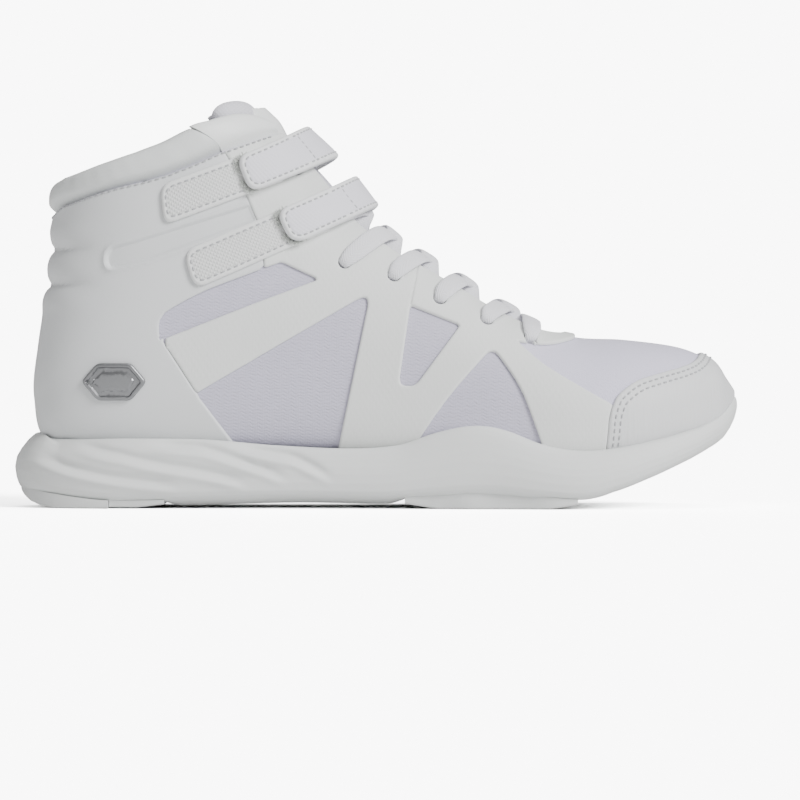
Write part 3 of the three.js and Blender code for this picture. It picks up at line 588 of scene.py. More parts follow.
class Finish:
    """A small builder for procedural materials; lay is the place in the material, in millimetres."""

    def __init__(self, name, color, rough, metal=0.0, sheen=0.0, coat=0.0, specular=0.5):
        self.material = bpy.data.materials.new(name)
        self.material.use_nodes = True
        self.tree = self.material.node_tree
        self.shader = self.tree.nodes["Principled BSDF"]
        self.shader.inputs["Metallic"].default_value = metal
        self.shader.inputs["Sheen Weight"].default_value = sheen
        self.shader.inputs["Coat Weight"].default_value = coat
        self.shader.inputs["Specular IOR Level"].default_value = specular
        lay = self.node("ShaderNodeAttribute")
        lay.attribute_name = "lay"
        self.lay = lay.outputs["Vector"]
        self.color, self.rough = color, rough
        self.height = None

    def node(self, kind, **settings):
        made = self.tree.nodes.new(kind)
        for key, value in settings.items():
            setattr(made, key, value)
        return made

    def plug(self, socket, value):
        """Links a socket to another node's output, or sets it to a plain value."""
        if hasattr(value, "links"):
            self.tree.links.new(value, socket)
        else:
            socket.default_value = value

    def feed(self, made, **sockets):
        for key, value in sockets.items():
            self.plug(made.inputs[key.replace("_", " ")], value)
        return made

    def math(self, operation, a, b=0.0):
        made = self.node("ShaderNodeMath", operation=operation)
        self.plug(made.inputs[0], a)
        self.plug(made.inputs[1], b)
        return made.outputs[0]

    def split(self, vector):
        made = self.node("ShaderNodeSeparateXYZ")
        self.tree.links.new(vector, made.inputs[0])
        return made.outputs

    def join(self, x, y, z=0.0):
        made = self.node("ShaderNodeCombineXYZ")
        for k, value in enumerate((x, y, z)):
            self.plug(made.inputs[k], value)
        return made.outputs[0]

    def noise(self, scale, detail=2.0, vector=None):
        made = self.node("ShaderNodeTexNoise")
        self.feed(made, Vector=vector or self.lay, Scale=scale, Detail=detail)
        return made.outputs["Fac"]

    def bumps(self, scale, vector=None):
        """Round grains: high in the middle of each cell."""
        made = self.node("ShaderNodeTexVoronoi")
        self.feed(made, Vector=vector or self.lay, Scale=scale)
        return self.math("SUBTRACT", 1.0, made.outputs["Distance"])

    def wave(self, value, pitch):
        """0 to 1 and back every pitch."""
        turns = self.math("MULTIPLY", value, 2 * math.pi / pitch)
        return self.math("ADD", self.math("MULTIPLY", self.math("SINE", turns), 0.5), 0.5)

    def raise_(self, value, amount):
        """Adds value times amount, in millimetres, to the surface's fine height."""
        grown = self.math("MULTIPLY", value, amount)
        self.height = grown if self.height is None else self.math("ADD", self.height, grown)
        return self

    def step(self, value, low, high):
        """0 below low, 1 above high and a soft ramp between them."""
        made = self.node("ShaderNodeMapRange", interpolation_type="SMOOTHSTEP")
        self.feed(made, Value=value, From_Min=low, From_Max=high)
        return made.outputs[0]

    def blend(self, share, other):
        """Mixes the colour with another one."""
        made = self.node("ShaderNodeMix", data_type="RGBA")
        self.tree.links.new(share, made.inputs["Factor"])
        made.inputs[6].default_value = self.color
        made.inputs[7].default_value = other
        self.color = made.outputs[2]
        return self

    def tint(self, value, low, high):
        """Shades the colour by a factor from low to high as value goes from 0 to 1."""
        made = self.node("ShaderNodeMapRange")
        self.feed(made, Value=value, To_Min=low, To_Max=high)
        scale = self.node("ShaderNodeVectorMath", operation="SCALE")
        if hasattr(self.color, "links"):
            self.tree.links.new(self.color, scale.inputs[0])
        else:
            scale.inputs[0].default_value = self.color[:3]
        self.tree.links.new(made.outputs[0], scale.inputs["Scale"])
        self.color = scale.outputs[0]
        return self

    def done(self):
        wear = self.noise(0.05, 3.0)
        self.tint(wear, 0.985, 1.015)
        self.tree.links.new(self.color, self.shader.inputs["Base Color"])
        rough = self.node("ShaderNodeMapRange")
        self.feed(rough, Value=wear, To_Min=self.rough - 0.05, To_Max=self.rough + 0.05)
        self.tree.links.new(rough.outputs[0], self.shader.inputs["Roughness"])
        if self.height is not None:
            bump = self.node("ShaderNodeBump")
            self.feed(bump, Height=self.height, Distance=0.001, Strength=1.0)
            self.tree.links.new(bump.outputs[0], self.shader.inputs["Normal"])
        return self.material


def knit(name, color, row, dash, depth, hollow_shade=0.93):
    """Warp-knit mesh: broken rows of small wavy dashes over a fine ground of loops."""
    f = Finish(name, color, 0.88, sheen=0.2)
    u, v, _ = f.split(f.lay)
    swing = f.math("MULTIPLY", f.math("SINE", f.math("MULTIPLY", u, 2 * math.pi / dash)), row * 0.22)
    drift = f.math("MULTIPLY", f.noise(0.22, 1.0), row * 1.6)
    rows = f.wave(f.math("ADD", f.math("ADD", v, swing), drift), row)
    breaks = f.noise(1.0, 1.0, f.join(f.math("MULTIPLY", u, 0.9 / dash), f.math("DIVIDE", v, row)))
    dashes = f.math("MULTIPLY", f.math("POWER", rows, 2.0), breaks)
    # Painted shade: the sunk dashes are made darker, as if shade fell in them.
    f.tint(dashes, 1.01, hollow_shade)
    f.raise_(dashes, -depth)
    loops = f.math("MULTIPLY", f.wave(u, 0.62), f.wave(v, 0.55))
    f.raise_(loops, 0.035)
    return f.done()


def overlay(name, color, emboss=0.05, rough=0.5):
    """Welded film with a faint diamond emboss."""
    f = Finish(name, color, rough, specular=0.4)
    u, v, _ = f.split(f.lay)
    across = f.wave(f.math("ADD", u, f.math("MULTIPLY", v, 0.6)), 2.3)
    back = f.wave(f.math("SUBTRACT", u, f.math("MULTIPLY", v, 0.6)), 2.3)
    patchy = f.noise(0.035, 1.0)
    f.raise_(f.math("MULTIPLY", f.math("MULTIPLY", across, back), patchy), emboss)
    f.raise_(f.noise(1.8, 3.0), 0.03)
    return f.done()


def leather(name, color, rough=0.45, grain=0.04):
    f = Finish(name, color, rough, specular=0.5)
    f.raise_(f.bumps(1.6), grain)
    f.raise_(f.noise(0.3, 2.0), 0.06)
    return f.done()


def strap_film(name, color, middle, border):
    """A strap's face: a plain white border and, inside it, a cooler panel with fine slanted ribs."""
    f = Finish(name, color, 0.5, specular=0.4)
    u, v, edge = f.split(f.lay)
    inner = f.step(edge, border - 0.15, border + 0.15)
    f.blend(inner, middle)
    ribs = f.wave(f.math("ADD", u, f.math("MULTIPLY", v, 0.35)), 1.35)
    f.raise_(f.math("MULTIPLY", ribs, inner), 0.035)
    f.raise_(f.bumps(2.0), 0.03)
    return f.done()


def weave(name, color, pitch, depth, sheen=0.3, hollow_shade=0.93, border=None):
    """Woven tape: a grid of crossing threads, with a plain edge if border gives its width."""
    f = Finish(name, color, 0.9, sheen=sheen)
    u, v, edge = f.split(f.lay)
    lean, back = f.math("ADD", u, v), f.math("SUBTRACT", u, v)
    over = f.math("MULTIPLY", f.wave(lean, pitch), f.wave(back, pitch))
    if border:
        inner = f.step(edge, border - 0.2, border + 0.3)
        over = f.math("ADD", f.math("MULTIPLY", over, inner), f.math("SUBTRACT", 1.0, inner))
    # Painted shade: the low places between the crossing threads are made darker.
    f.tint(over, hollow_shade, 1.02)
    f.raise_(over, depth)
    f.raise_(f.noise(3.0, 2.0), 0.08)
    return f.done()


def braid(name, color):
    """Flat tubular lace: slanting threads that meet in a chevron along its middle."""
    f = Finish(name, color, 0.88, sheen=0.3)
    u, v, _ = f.split(f.lay)
    lean = f.math("ADD", u, f.math("MULTIPLY", f.math("ABSOLUTE", v), 1.1))
    threads = f.wave(lean, 0.9)
    # Painted shade: the grooves between the slanting threads are made darker.
    f.tint(threads, 0.94, 1.02)
    f.raise_(threads, 0.11)
    return f.done()


def moulded(name, color, rough=0.6):
    """Foam or rubber with a fine spark-eroded grain."""
    f = Finish(name, color, rough, specular=0.4)
    f.raise_(f.noise(2.5, 3.0), 0.06)
    f.raise_(f.noise(0.25, 2.0), 0.06)
    return f.done()


def brushed(name, color):
    f = Finish(name, color, 0.35, metal=0.85)
    u, v, _ = f.split(f.lay)
    f.raise_(f.noise(3.0, 2.0, f.join(f.math("MULTIPLY", u, 0.1), v)), 0.03)
    return f.done()


def rough_board(name, color):
    f = Finish(name, color, 0.95)
    f.raise_(f.noise(1.0, 4.0), 0.15)
    f.tint(f.noise(0.8, 3.0), 0.9, 1.05)
    return f.done()


WHITE = {
    "foam": moulded("foam_white", srgb(226, 228, 227)),
    "rubber": moulded("rubber_white", srgb(221, 223, 222), 0.5),
    # The quarter knit's lavender is partly its own tone and partly painted shade of the recessed mesh
    # windows, so it is darker than the vamp knit.
    "quarter": knit("quarter_knit", srgb(197, 194, 211), 1.25, 3.0, 0.18, 0.955),
    "vamp": knit("vamp_knit", srgb(216, 213, 232), 0.8, 1.8, 0.1, 0.97),
    "tongue": knit("tongue_knit", srgb(214, 213, 222), 0.8, 1.8, 0.1, 0.96),
    "overlay": overlay("overlay_film", srgb(229, 231, 229)),
    # The toe cap and heel films are the overlay film made darker: painted shade where these parts face
    # away from the light.
    "toe": overlay("toe_cap_film_shaded", srgb(219, 220, 221), 0.16),
    "heel": overlay("heel_film_shaded", srgb(221, 223, 224), 0.015),
    "leather": leather("collar_leather", srgb(223, 226, 225), 0.4),
    # The front collar and tongue-tip leather is the collar leather made lighter: painted highlight on
    # these top-facing parts.
    "leather_front_lit": leather("collar_front_leather_lit", srgb(238, 240, 239), 0.42),
    "strap": strap_film("strap_leather", srgb(234, 235, 236), srgb(226, 225, 233), 1.9),
    "loop": weave("loop_tape", srgb(235, 236, 235), 1.7, 0.26, hollow_shade=0.9, border=1.9),
    "hook": weave("hook_tape", srgb(216, 219, 216), 0.9, 0.4, 0.1),
    "fibre": moulded("hook_fibre", srgb(224, 227, 223), 0.7),
    "lace": braid("lace_textile", srgb(238, 238, 243)),
    "lining": weave("lining_textile", srgb(222, 221, 229), 1.6, 0.1),
    "insole": weave("insole_textile", srgb(216, 216, 222), 1.2, 0.08),
    # The stitch thread is white; its grey here is painted shade of the needle holes round the stitches.
    "thread": weave("stitch_thread_shaded", srgb(186, 187, 190), 0.4, 0.05),
    "badge": brushed("badge_metal", srgb(142, 143, 145)),
    "clear": moulded("aglet_plastic", srgb(220, 221, 226), 0.3),
    "board": rough_board("stiffener_board", srgb(212, 209, 199)),
}


# ---------------------------------------------------------------- stitching
def capsules(centres, ways, ups, length, radius):
    """Many small thread stitches as one set of points and faces, with their ends sunk in."""
    sides = 6
    along = np.array([-0.5, -0.42, -0.2, 0.2, 0.42, 0.5]) * length
    size = np.array([0.25, 0.8, 1.0, 1.0, 0.8, 0.25]) * radius
    turn = np.arange(sides) * 2 * math.pi / sides
    points, faces = [], []
    for c, w, up in zip(centres, unit(ways), ups):
        side = unit(np.cross(w, up))
        up = np.cross(side, w)
        rings = []
        for x, r in zip(along, size):
            sink = -0.45 * radius * (abs(x) / length * 2) ** 4
            rings.append([c + w * x + side * (r * math.cos(k)) + up * (r * math.sin(k) + sink)
                          for k in turn])
        faces.extend(tube(rings, len(points)))
        for ring in rings:
            points.extend(ring)
    return np.array(points), faces


def stitch_row(points, ups, pitch=STITCH_PITCH):
    """Points and faces of a row of stitches along a line on a surface."""
    line = np.hstack([points, ups])
    reach = reaches(points)
    count = max(1, round(reach[-1] / pitch))
    at = (np.arange(count) + 0.5) * reach[-1] / count
    middle, before, after = (sampled(at + shift, reach, line) for shift in (0, -0.3, 0.3))
    return capsules(middle[:, :3], after[:, :3] - before[:, :3], unit(middle[:, 3:]), *STITCH)


def merge(parts):
    points, faces = [], []
    for p, f in parts:
        faces.extend(tuple(k + len(points) for k in face) for face in f)
        points.extend(p)
    return np.array(points), faces


def thread(name, rows, body="shoe"):
    points, faces = merge(rows)
    return make(name, points, faces, points[:, [0, 2]], WHITE["thread"], body)


def aside(t, a, reach, steps=8):
    """A line on the form moved sideways over its surface towards the toe, as sections and angles."""
    e = 0.01
    for _ in range(steps):
        here = base(t, a)
        pt, pa = (base(t + e, a) - here) / e, (base(t, a + e) - here) / e
        way = unit(np.cross(np.gradient(here, axis=0), normal(t, a)))
        way *= np.sign(way[:, :1]) * reach / steps
        E, F, G = (pt * pt).sum(1), (pt * pa).sum(1), (pa * pa).sum(1)
        wt, wa = (pt * way).sum(1), (pa * way).sum(1)
        t, a = t + (G * wt - F * wa) / (E * G - F * F), a + (E * wa - F * wt) / (E * G - F * F)
    return t, a


def form_row(t, a, d):
    return stitch_row(form(t, a, d), normal(t, a))


def section_at(line, a, lift=0.0):
    """Section number where the form's surface at angle a meets a side-view line."""
    a = np.atleast_1d(a)

    def under(t):
        P = base(t, a)
        return P[:, 2] < height(line, P[:, 0]) + lift

    return bisect(np.full_like(a, 9.0), np.full_like(a, LAST), under)


# ---------------------------------------------------------------- base upper and overlays
def base_pieces():
    common = both(above(FOOTBED, 2.3), below(COLLAR_LINE), throat, eyelets)
    split = lambda sign: (lambda t, a, P: sign * P[:, 1] - 0.05)
    vamp = both(common, toward(VAMP_SEAM, 0, 1))
    panel("vamp_mesh", (-0.49, 7.2), (-179, 179), 2.2, vamp, MESH_LAYER, WHITE["vamp"],
          ["vamp_mesh"], lay=lay_top, levels=(0.3,), rim=0.3)
    for side, sign in (("lateral", -1), ("medial", 1)):
        field = both(common, x_between(HEEL_PANEL_X, 200), toward(VAMP_SEAM, 0, -1), split(sign))
        turn = (-155, -1) if sign < 0 else (1, 155)
        panel(f"quarter_mesh_{side}", (5.0, LAST), turn, 2.0, field, MESH_LAYER, WHITE["quarter"],
              [f"quarter_mesh_{side}"], levels=(0.3,), rim=0.3)
    heel = both(above(FOOTBED, 2.3), below(COLLAR_LINE), x_between(-200, HEEL_PANEL_X))
    panel("heel_panel", (8.2, LAST), (60, 300), 2.4, heel, MESH_LAYER, WHITE["quarter"],
          ["heel_panel"], lay=lay_round, levels=(0.3,), rim=0.3)


def flex_ridges(P):
    """Soft horizontal ridges over the Achilles tendon at the back of the heel."""
    back = smooth(-98, -116, P[:, 0])
    grooves = sum(np.exp(-(((P[:, 2] - z) / 1.7) ** 2)) for z in (81, 93.8))
    swell = sum(np.exp(-(((P[:, 2] - z) / 3.8) ** 2)) for z in (75, 87.5, 100.5))
    return back * (0.9 * swell - 1.5 * grooves)


def overlay_pieces():
    skin = both(above(FOOTBED, 4), below(COLLAR_LINE, -0.3))
    holes = [outside(c) for c in WINDOWS]
    cage = both(skin, throat, eyelets, toward(HEEL_EDGE, 0.12, 1), toe_side(-0.12, -1),
                outside(VAMP_WINDOW), *holes)

    seam = toward([[15.2, 95], [14.5, 84.5], [12.2, 72]], 0, 1)

    def lap(t, a, P, s):
        # The front of the eyestay laps over the rear part along a short seam above the windows.
        d = seam(t, a, P)
        return (0.32 * smooth(-0.15, 0.15, d) * np.exp(-np.maximum(d, 0) / 7) - 0.2
                * np.exp(-((d / 0.4) ** 2))) * smooth(71, 74, P[:, 2]) * smooth(0, 0.6, s)

    near_seam = both(seam, lambda t, a, P: P[:, 2] - 68)
    panel("cage", (3.2, LAST - 1), (-165, 165), 1.25, cage, OVERLAY, WHITE["overlay"], ["cage"],
          shape=lap, extra=[(near_seam, level) for level in (0.02, 0.3, 0.8)])
    slot_field = within(SLOT)

    def heel_shape(t, a, P, s):
        d = distance(slot_field, np.stack([t, np.where(a > math.pi, 2 * math.pi - a, a)], 1))
        pressed = -0.95 * smooth(-0.4, 0.4, d) + 0.5 * np.exp(-(((d + 1.1) / 0.7) ** 2))
        return flex_ridges(P) + pressed * smooth(0, 1, s)

    heel = both(skin, toward(HEEL_EDGE, 0, -1), *holes)
    extra = [(slot_field, level) for level in (-1.8, -1.1, -0.45, 0, 0.45)]
    panel("heel_overlay", (8.0, LAST), (38, 322), 1.3, heel, OVERLAY, WHITE["heel"],
          ["heel_overlay"], lay=lay_round, shape=heel_shape, extra=extra)
    cap = both(above(FOOTBED, 4), toe_side(0, 1))
    panel("toe_cap", (-0.49, 5), (-179, 179), 1.2, cap, OVERLAY, WHITE["toe"], ["toe_cap"],
          lay=lay_top)
    turns = np.radians(np.linspace(-110, 110, 240))
    t = bisect(np.full_like(turns, 1), np.full_like(turns, 6),
               lambda t: base(t, turns)[:, 0] > cap_edge_x(turns))
    rows = []
    for inset in TOE_STITCH_INSETS:
        st, sa = aside(t, turns, inset)
        seen = base(st, sa)
        seen = seen[:, 2] > height(MIDSOLE_TOP, seen[:, 0])
        rows.append(form_row(st[seen], sa[seen], OVERLAY[1] + 0.1))
    thread("toe_cap_stitching", rows)


def badges():
    (x, z), (wide, high) = BADGE_AT, BADGE_HALF
    shape = [[x - wide, z, 1.5], [x - 6, z + high, 1.5], [x + 6, z + high, 1.5],
             [x + wide, z, 1.5], [x + 6, z - high, 1.5], [x - 6, z - high, 1.5]]

    def relief(t, a, P, s):
        # A raised rim, a sunk ring and a low raised plate in the middle.
        return -0.75 * smooth(1.3, 1.8, s) + 0.55 * smooth(3.2, 3.9, s)

    for side, turn in (("lateral", (-150, -60)), ("medial", (60, 150))):
        panel(f"badge_{side}", (9.5, 12.5), turn, 0.8, within(shape), BADGE, WHITE["badge"],
              [f"badge_{side}"], rim=0.6, shape=relief,
              levels=(0.12, 0.3, 0.6, 1.3, 1.8, 3.2, 3.9))


# ---------------------------------------------------------------- collar and lining
def roll(a_low, a_top, low, top, inner, outer, square=2.6, around=44, puff=None):
    """A padded band round the ankle, from its stitched lower line to its top line."""
    turn = np.arange(around) * 2 * math.pi / around
    t_low, t_top = section_at(low, a_low, -0.8), section_at(top, a_top)
    c, s = np.cos(turn), np.sin(turn)
    f = 0.5 + 0.5 * np.sign(s) * np.abs(s) ** (2 / square)
    side = np.sign(c) * np.abs(c) ** (2 / square)
    rings = []
    for k in range(len(a_low)):
        t = t_low[k] + f * (t_top[k] - t_low[k])
        a = a_low[k] + f**1.8 * (a_top[k] - a_low[k])
        middle, half = (inner + outer) / 2, (outer - inner) / 2
        d = middle + half * side
        d = np.where(side > 0, middle + (d - middle) * (0.35 + 0.65 * smooth(0, 0.4, f)), d)
        if puff is not None:
            d = d + puff(t, a, f, side)
        rings.append(form(t, a, d))
    return closed_tube(rings)


def collar():
    seam_low = locate(-55.8, 129)[1][0]
    seam_top = locate(-67, 137)[1][0]

    def wrinkles(t, a, f, side):
        # Shallow sideways gathers where the padded leather turns round the heel.
        gather = 0.09 * np.sin(a * 19 + 2 * np.sin(a * 5)) + 0.05 * np.sin(a * 43 + f * 4)
        return gather * np.clip(side, 0, 1) * smooth(0.1, 0.5, f) * (1 - smooth(0.85, 1, f))

    u = np.linspace(0, 1, 150)
    low = seam_low + u * (2 * math.pi - 2 * seam_low)
    top = seam_top + u * (2 * math.pi - 2 * seam_top)
    points, faces = roll(low, top, COLLAR_LINE, COLLAR_TOP, *COLLAR_REAR, puff=wrinkles)
    rear = make("collar_rear", points, faces, points[:, [0, 2]], WHITE["leather"], "shoe",
                ["collar_rear"])
    sharpen(rear, 60)
    for side, sign in (("lateral", -1), ("medial", 1)):
        u = np.linspace(0.012, 1, 50)
        points, faces = roll(sign * (seam_low + u * (COLLAR_FRONT_END - seam_low)),
                             sign * (seam_top + u * (COLLAR_FRONT_END - seam_top)),
                             COLLAR_LINE, COLLAR_FRONT_TOP, *COLLAR_FRONT, square=2.8)
        front = make(f"collar_front_{side}", points, faces, points[:, [0, 2]],
                     WHITE["leather_front_lit"], "shoe", [f"collar_front_{side}"])
        sharpen(front, 60)
    a = np.linspace(seam_low - math.radians(30), 2 * math.pi - seam_low + math.radians(30), 400)
    t = section_at(COLLAR_LINE, a, -0.7)
    row = form_row(t, a, OVERLAY[1] + 0.12 + flex_ridges(base(t, a)) * 0.5)
    thread("collar_stitching", [row])
    edge = [[-52, 134], [-46, 118], [-34, 96], [-24, 78], [-20, 62], [-20, 10]]
    lining = both(above(FOOTBED, 7.7), below(COLLAR_LINE, -1), toward(edge, 0, -1))
    panel("collar_lining", (7.4, LAST), (35, 325), 2.2, lining, LINING, WHITE["lining"],
          ["collar_lining"], lay=lay_round, levels=(0.4,), rim=0.4)


# ---------------------------------------------------------------- tongue
TONGUE = [
    [80, 20, 1], [80, 75, 1], [-25, 150, 1], [-31, 136.8, 3], [-37, 141.8, 5], [-44, 145, 5],
    [-52, 146, 5], [-60, 142, 4], [-67, 136.5, 3], [-60, 60, 1], [-20, 20, 1],
]
TONGUE_LINING = [
    [80, 20, 1], [80, 75, 1], [-30, 150, 1], [-36, 138, 2], [-43, 144, 4], [-48, 147.6, 4],
    [-53, 149, 4], [-59, 148.3, 4], [-63, 144.5, 3], [-68, 136, 3], [-60, 60, 1], [-20, 20, 1],
]


def side_shape(corners, depth):
    """Inside of a side-view outline, for a sheet that lies depth(a) out from the form."""
    outline = rounded(corners)
    return lambda t, a, P: inside(outline, *form(t, a, depth(a))[:, [0, 2]].T)


def section_inside(field, a):
    """Highest section at each angle a that is inside a field."""
    low, high = np.full_like(a, 12.0), np.full_like(a, LAST - 0.05)
    return bisect(low, high, lambda t: field(t, a, None) > 0)


def tongue():
    side = math.radians(TONGUE_SIDE)

    def face(t, a):
        """How far the tongue's face lies out from the form."""
        swell = 2.8 * smooth(13.2, 14.2, t) * (1 - smooth(0.21, 0.35, np.abs(a)))
        return swell - 2.8 - 3.1 * smooth(0, math.radians(17), np.abs(a))

    def crown(t, a, P, s):
        quilt = 0.15 * np.cos(a * 11) * smooth(0, 4, s)
        return (face(t, a) + 5.9) * smooth(0, 2.5, s) + quilt

    top_edge = side_shape(TONGUE, lambda a: -3 - 4 * smooth(0, 0.5, np.abs(a)))
    front = panel("tongue", (4.6, LAST), (-TONGUE_SIDE, TONGUE_SIDE), 1.8, top_edge,
                  TONGUE_FRONT, WHITE["tongue"], ["tongue"], rim=2.2,
                  levels=(0.3, 0.8, 1.5, 2.4), shape=crown, body="tongue")
    # A smooth leather end over the top of the tongue's knit.
    tip = both(top_edge, lambda t, a, P: (t - TONGUE_TIP_FROM) * 12)
    panel("tongue_tip", (13, LAST), (-TONGUE_TIP_SIDE, TONGUE_TIP_SIDE), 1.3, tip, TONGUE_TIP,
          WHITE["leather_front_lit"], rim=1.6, levels=(0.3, 0.8, 1.6),
          shape=crown, body="tongue")
    back_edge = side_shape(TONGUE_LINING, lambda a: -5.5 + 0 * a)
    tucked = lambda t, a, P: np.minimum(back_edge(t, a, P) - 4, (side - np.abs(a)) * 34)
    back = panel("tongue_lining", (4.6, LAST), (-TONGUE_BACK_SIDE, TONGUE_BACK_SIDE), 2.0,
                 tucked, TONGUE_BACK, WHITE["lining"], ["tongue_lining"],
                 rim=1.6, levels=(0.3, 0.8, 1.6), body="tongue")
    # The lining turns over the top of the tongue in a soft roll.
    a = np.linspace(-side, side, 80)
    top = section_inside(back_edge, a)
    turn = np.arange(28) * 2 * math.pi / 28
    half_high, half_thick = ROLL_SIZE
    rings = []
    for angle, t, size in zip(a, top, 0.3 + 0.7 * np.sqrt(1 - (a / side) ** 4)):
        middle = t - 0.5 * size - 0.45 * (1 - size)
        rings.append(form(middle + half_high * size * np.sin(turn), angle,
                          -5.6 - 2.6 * (1 - size) + half_thick * size * np.cos(turn)))
    points, faces = closed_tube(rings)
    roll_ = make("tongue_roll", points, faces, points[:, [0, 2]], WHITE["lining"], "tongue")


# ---------------------------------------------------------------- straps
class Band:
    """The strip a strap follows round the ankle: p along it in millimetres from the front, v across."""

    def __init__(self, start, slope, **reach):
        self.start, self.slope, self.reach = start, math.radians(slope), reach
        rows = []
        for v in np.linspace(-8, 8, 7):
            x, z = self.side_view(np.linspace(-4, 60, 60), v)
            t, a = locate(x, z)
            keep = a > math.radians(16)
            rows.append(np.stack([t[keep], a[keep], np.full(keep.sum(), v)], 1))
        t, a, v = np.vstack(rows).T
        self.fit = np.linalg.lstsq(self.terms(a, v), t, rcond=None)[0]
        self.turns = np.radians(np.linspace(-105, 105, 421))
        line = form(self.section(self.turns, 0 * self.turns), self.turns, 5.0)
        reach = reaches(line)
        self.along = reach - np.interp(0, self.turns, reach)

    @staticmethod
    def terms(a, v):
        return np.stack([a ** (2 * i) * v**j for i in range(4) for j in range(3)], 1)

    def side_view(self, s, v):
        c, q = math.cos(self.slope), math.sin(self.slope)
        return self.start[0] + c * s - q * v, self.start[1] + q * s + c * v

    def section(self, a, v):
        return self.terms(a, v) @ self.fit

    def p(self, s, side):
        """Distance along the strip of the side-view distance s, on one side of the foot."""
        turn = locate(*self.side_view(s, 0.0))[1][0]
        return float(np.interp(side * turn, self.turns, self.along))

    def metres(self, p):
        """The point of a strap's outer face at p along the middle of the band, in metres."""
        return tuple(self.place(np.array([[p, 0.0]]), np.array([STRAP[1]]))[0][0] / 1000)

    def place(self, pv, d, lift=True):
        """Points and normals of band places pv at d out; lift False leaves out the sewn end's dip."""
        a = np.interp(pv[:, 0], self.along, self.turns)
        t = self.section(a, pv[:, 1])
        if lift:
            d = d - (STRAP[0] - STRAP_SEWN[0]) * smooth(math.radians(44), math.radians(62), a)
        return form(t, a, d), normal(t, a)


def band_panel(name, band, corners, layer, finish, nodes, body, lift=True, rim=0.9, step=1.2,
               groove=None, levels=(0.12, 0.35, 0.8), span=(-math.inf, math.inf), wrinkle=None):
    """A band inside an outline of (p, v) corners; span cuts it square where it meets its other part."""
    outline = rounded(corners, 7)
    lo, hi = outline.min(0) - 0.1, outline.max(0) + 0.1
    lo[0], hi[0] = max(lo[0], span[0]), min(hi[0], span[1])
    V, T = lattice(np.linspace(lo[0], hi[0], max(3, int((hi[0] - lo[0]) / step))),
                   np.linspace(lo[1], hi[1], max(3, int((hi[1] - lo[1]) / step))))
    levels = [*levels, *([groove - 0.5, groove, groove + 0.5] if groove else [])]
    V, T, s = trimmed(V, T, inside(outline, *V.T), levels)
    d = layer[0] + (layer[1] - layer[0]) * rim_profile(s, rim)
    if groove:
        d = d - 0.22 * np.exp(-(((s - groove) / 0.4) ** 2))
    if wrinkle is not None:
        d = d + wrinkle(*V.T) * smooth(0, 1.5, s)
    top, bottom = band.place(V, d, lift)[0], band.place(V, np.full(len(V), layer[0]), lift)[0]
    points, faces = solid(T, top, bottom)
    lay = np.column_stack([V, s])
    obj = make(name, points, outward(points, faces), np.vstack([lay, lay]), finish, body, nodes)
    return sharpen(obj)


def box_corners(p0, p1, half, r0, r1):
    """A strip from p0 to p1 with corner radius r0 at p0 and r1 at p1."""
    return [[p0, -half, r0], [p1, -half, r1], [p1, half, r1], [p0, half, r0]]


def band_stitches(band, corners, d, lift=True, skip=None):
    """Rows of stitches round an outline on a band, except where skip(points) is true."""
    outline = rounded(corners, 9)
    closed_line = np.vstack([outline, outline[:1]])
    reach = reaches(closed_line)
    pv = sampled(np.arange(0, reach[-1], 0.5), reach, closed_line)
    kept = np.ones(len(pv), bool) if skip is None else ~skip(pv)
    runs = np.split(np.arange(len(pv)), np.flatnonzero(np.diff(kept)) + 1)
    rows = []
    for run in runs:
        if kept[run[0]] and len(run) > 4:
            rows.append(stitch_row(*band.place(pv[run], np.full(len(run), d), lift)))
    return rows


def pile(place, band, corners):
    """Loose loops of the pad that stand up round the pressed-on end of the tab."""
    rng = np.random.default_rng(5)
    outline = rounded(corners, 24)
    reach = outline[:, 0].min() + 8  # only the rounded end of the tab has loops round it
    near = outline[outline[:, 0] < reach]
    count, side = PILE_COUNT, STRAP_WIDTH / 2 - 0.4
    start = near[rng.integers(0, len(near), count)] + rng.normal(0, 0.25, (count, 2))
    out = unit(start - (reach, 0))
    foot = start + out * rng.uniform(0.0, 1.5, (count, 1))
    foot[:, 1] = np.clip(foot[:, 1], -side, side)
    tip = foot + out * rng.uniform(-0.3, 0.6, (count, 1)) + rng.normal(0, 0.5, (count, 2))
    low, ups = band.place(foot, np.full(count, PAD[1] - 0.2), False)
    high = band.place(tip, PAD[1] + rng.uniform(0.5, 1.5, count), False)[0]
    points, faces = capsules((low + high) / 2, high - low, ups, PILE_LENGTH, PILE_RADIUS)
    make(f"{place}_pad_pile", points, faces, points[:, [0, 2]], WHITE["fibre"], "shoe")


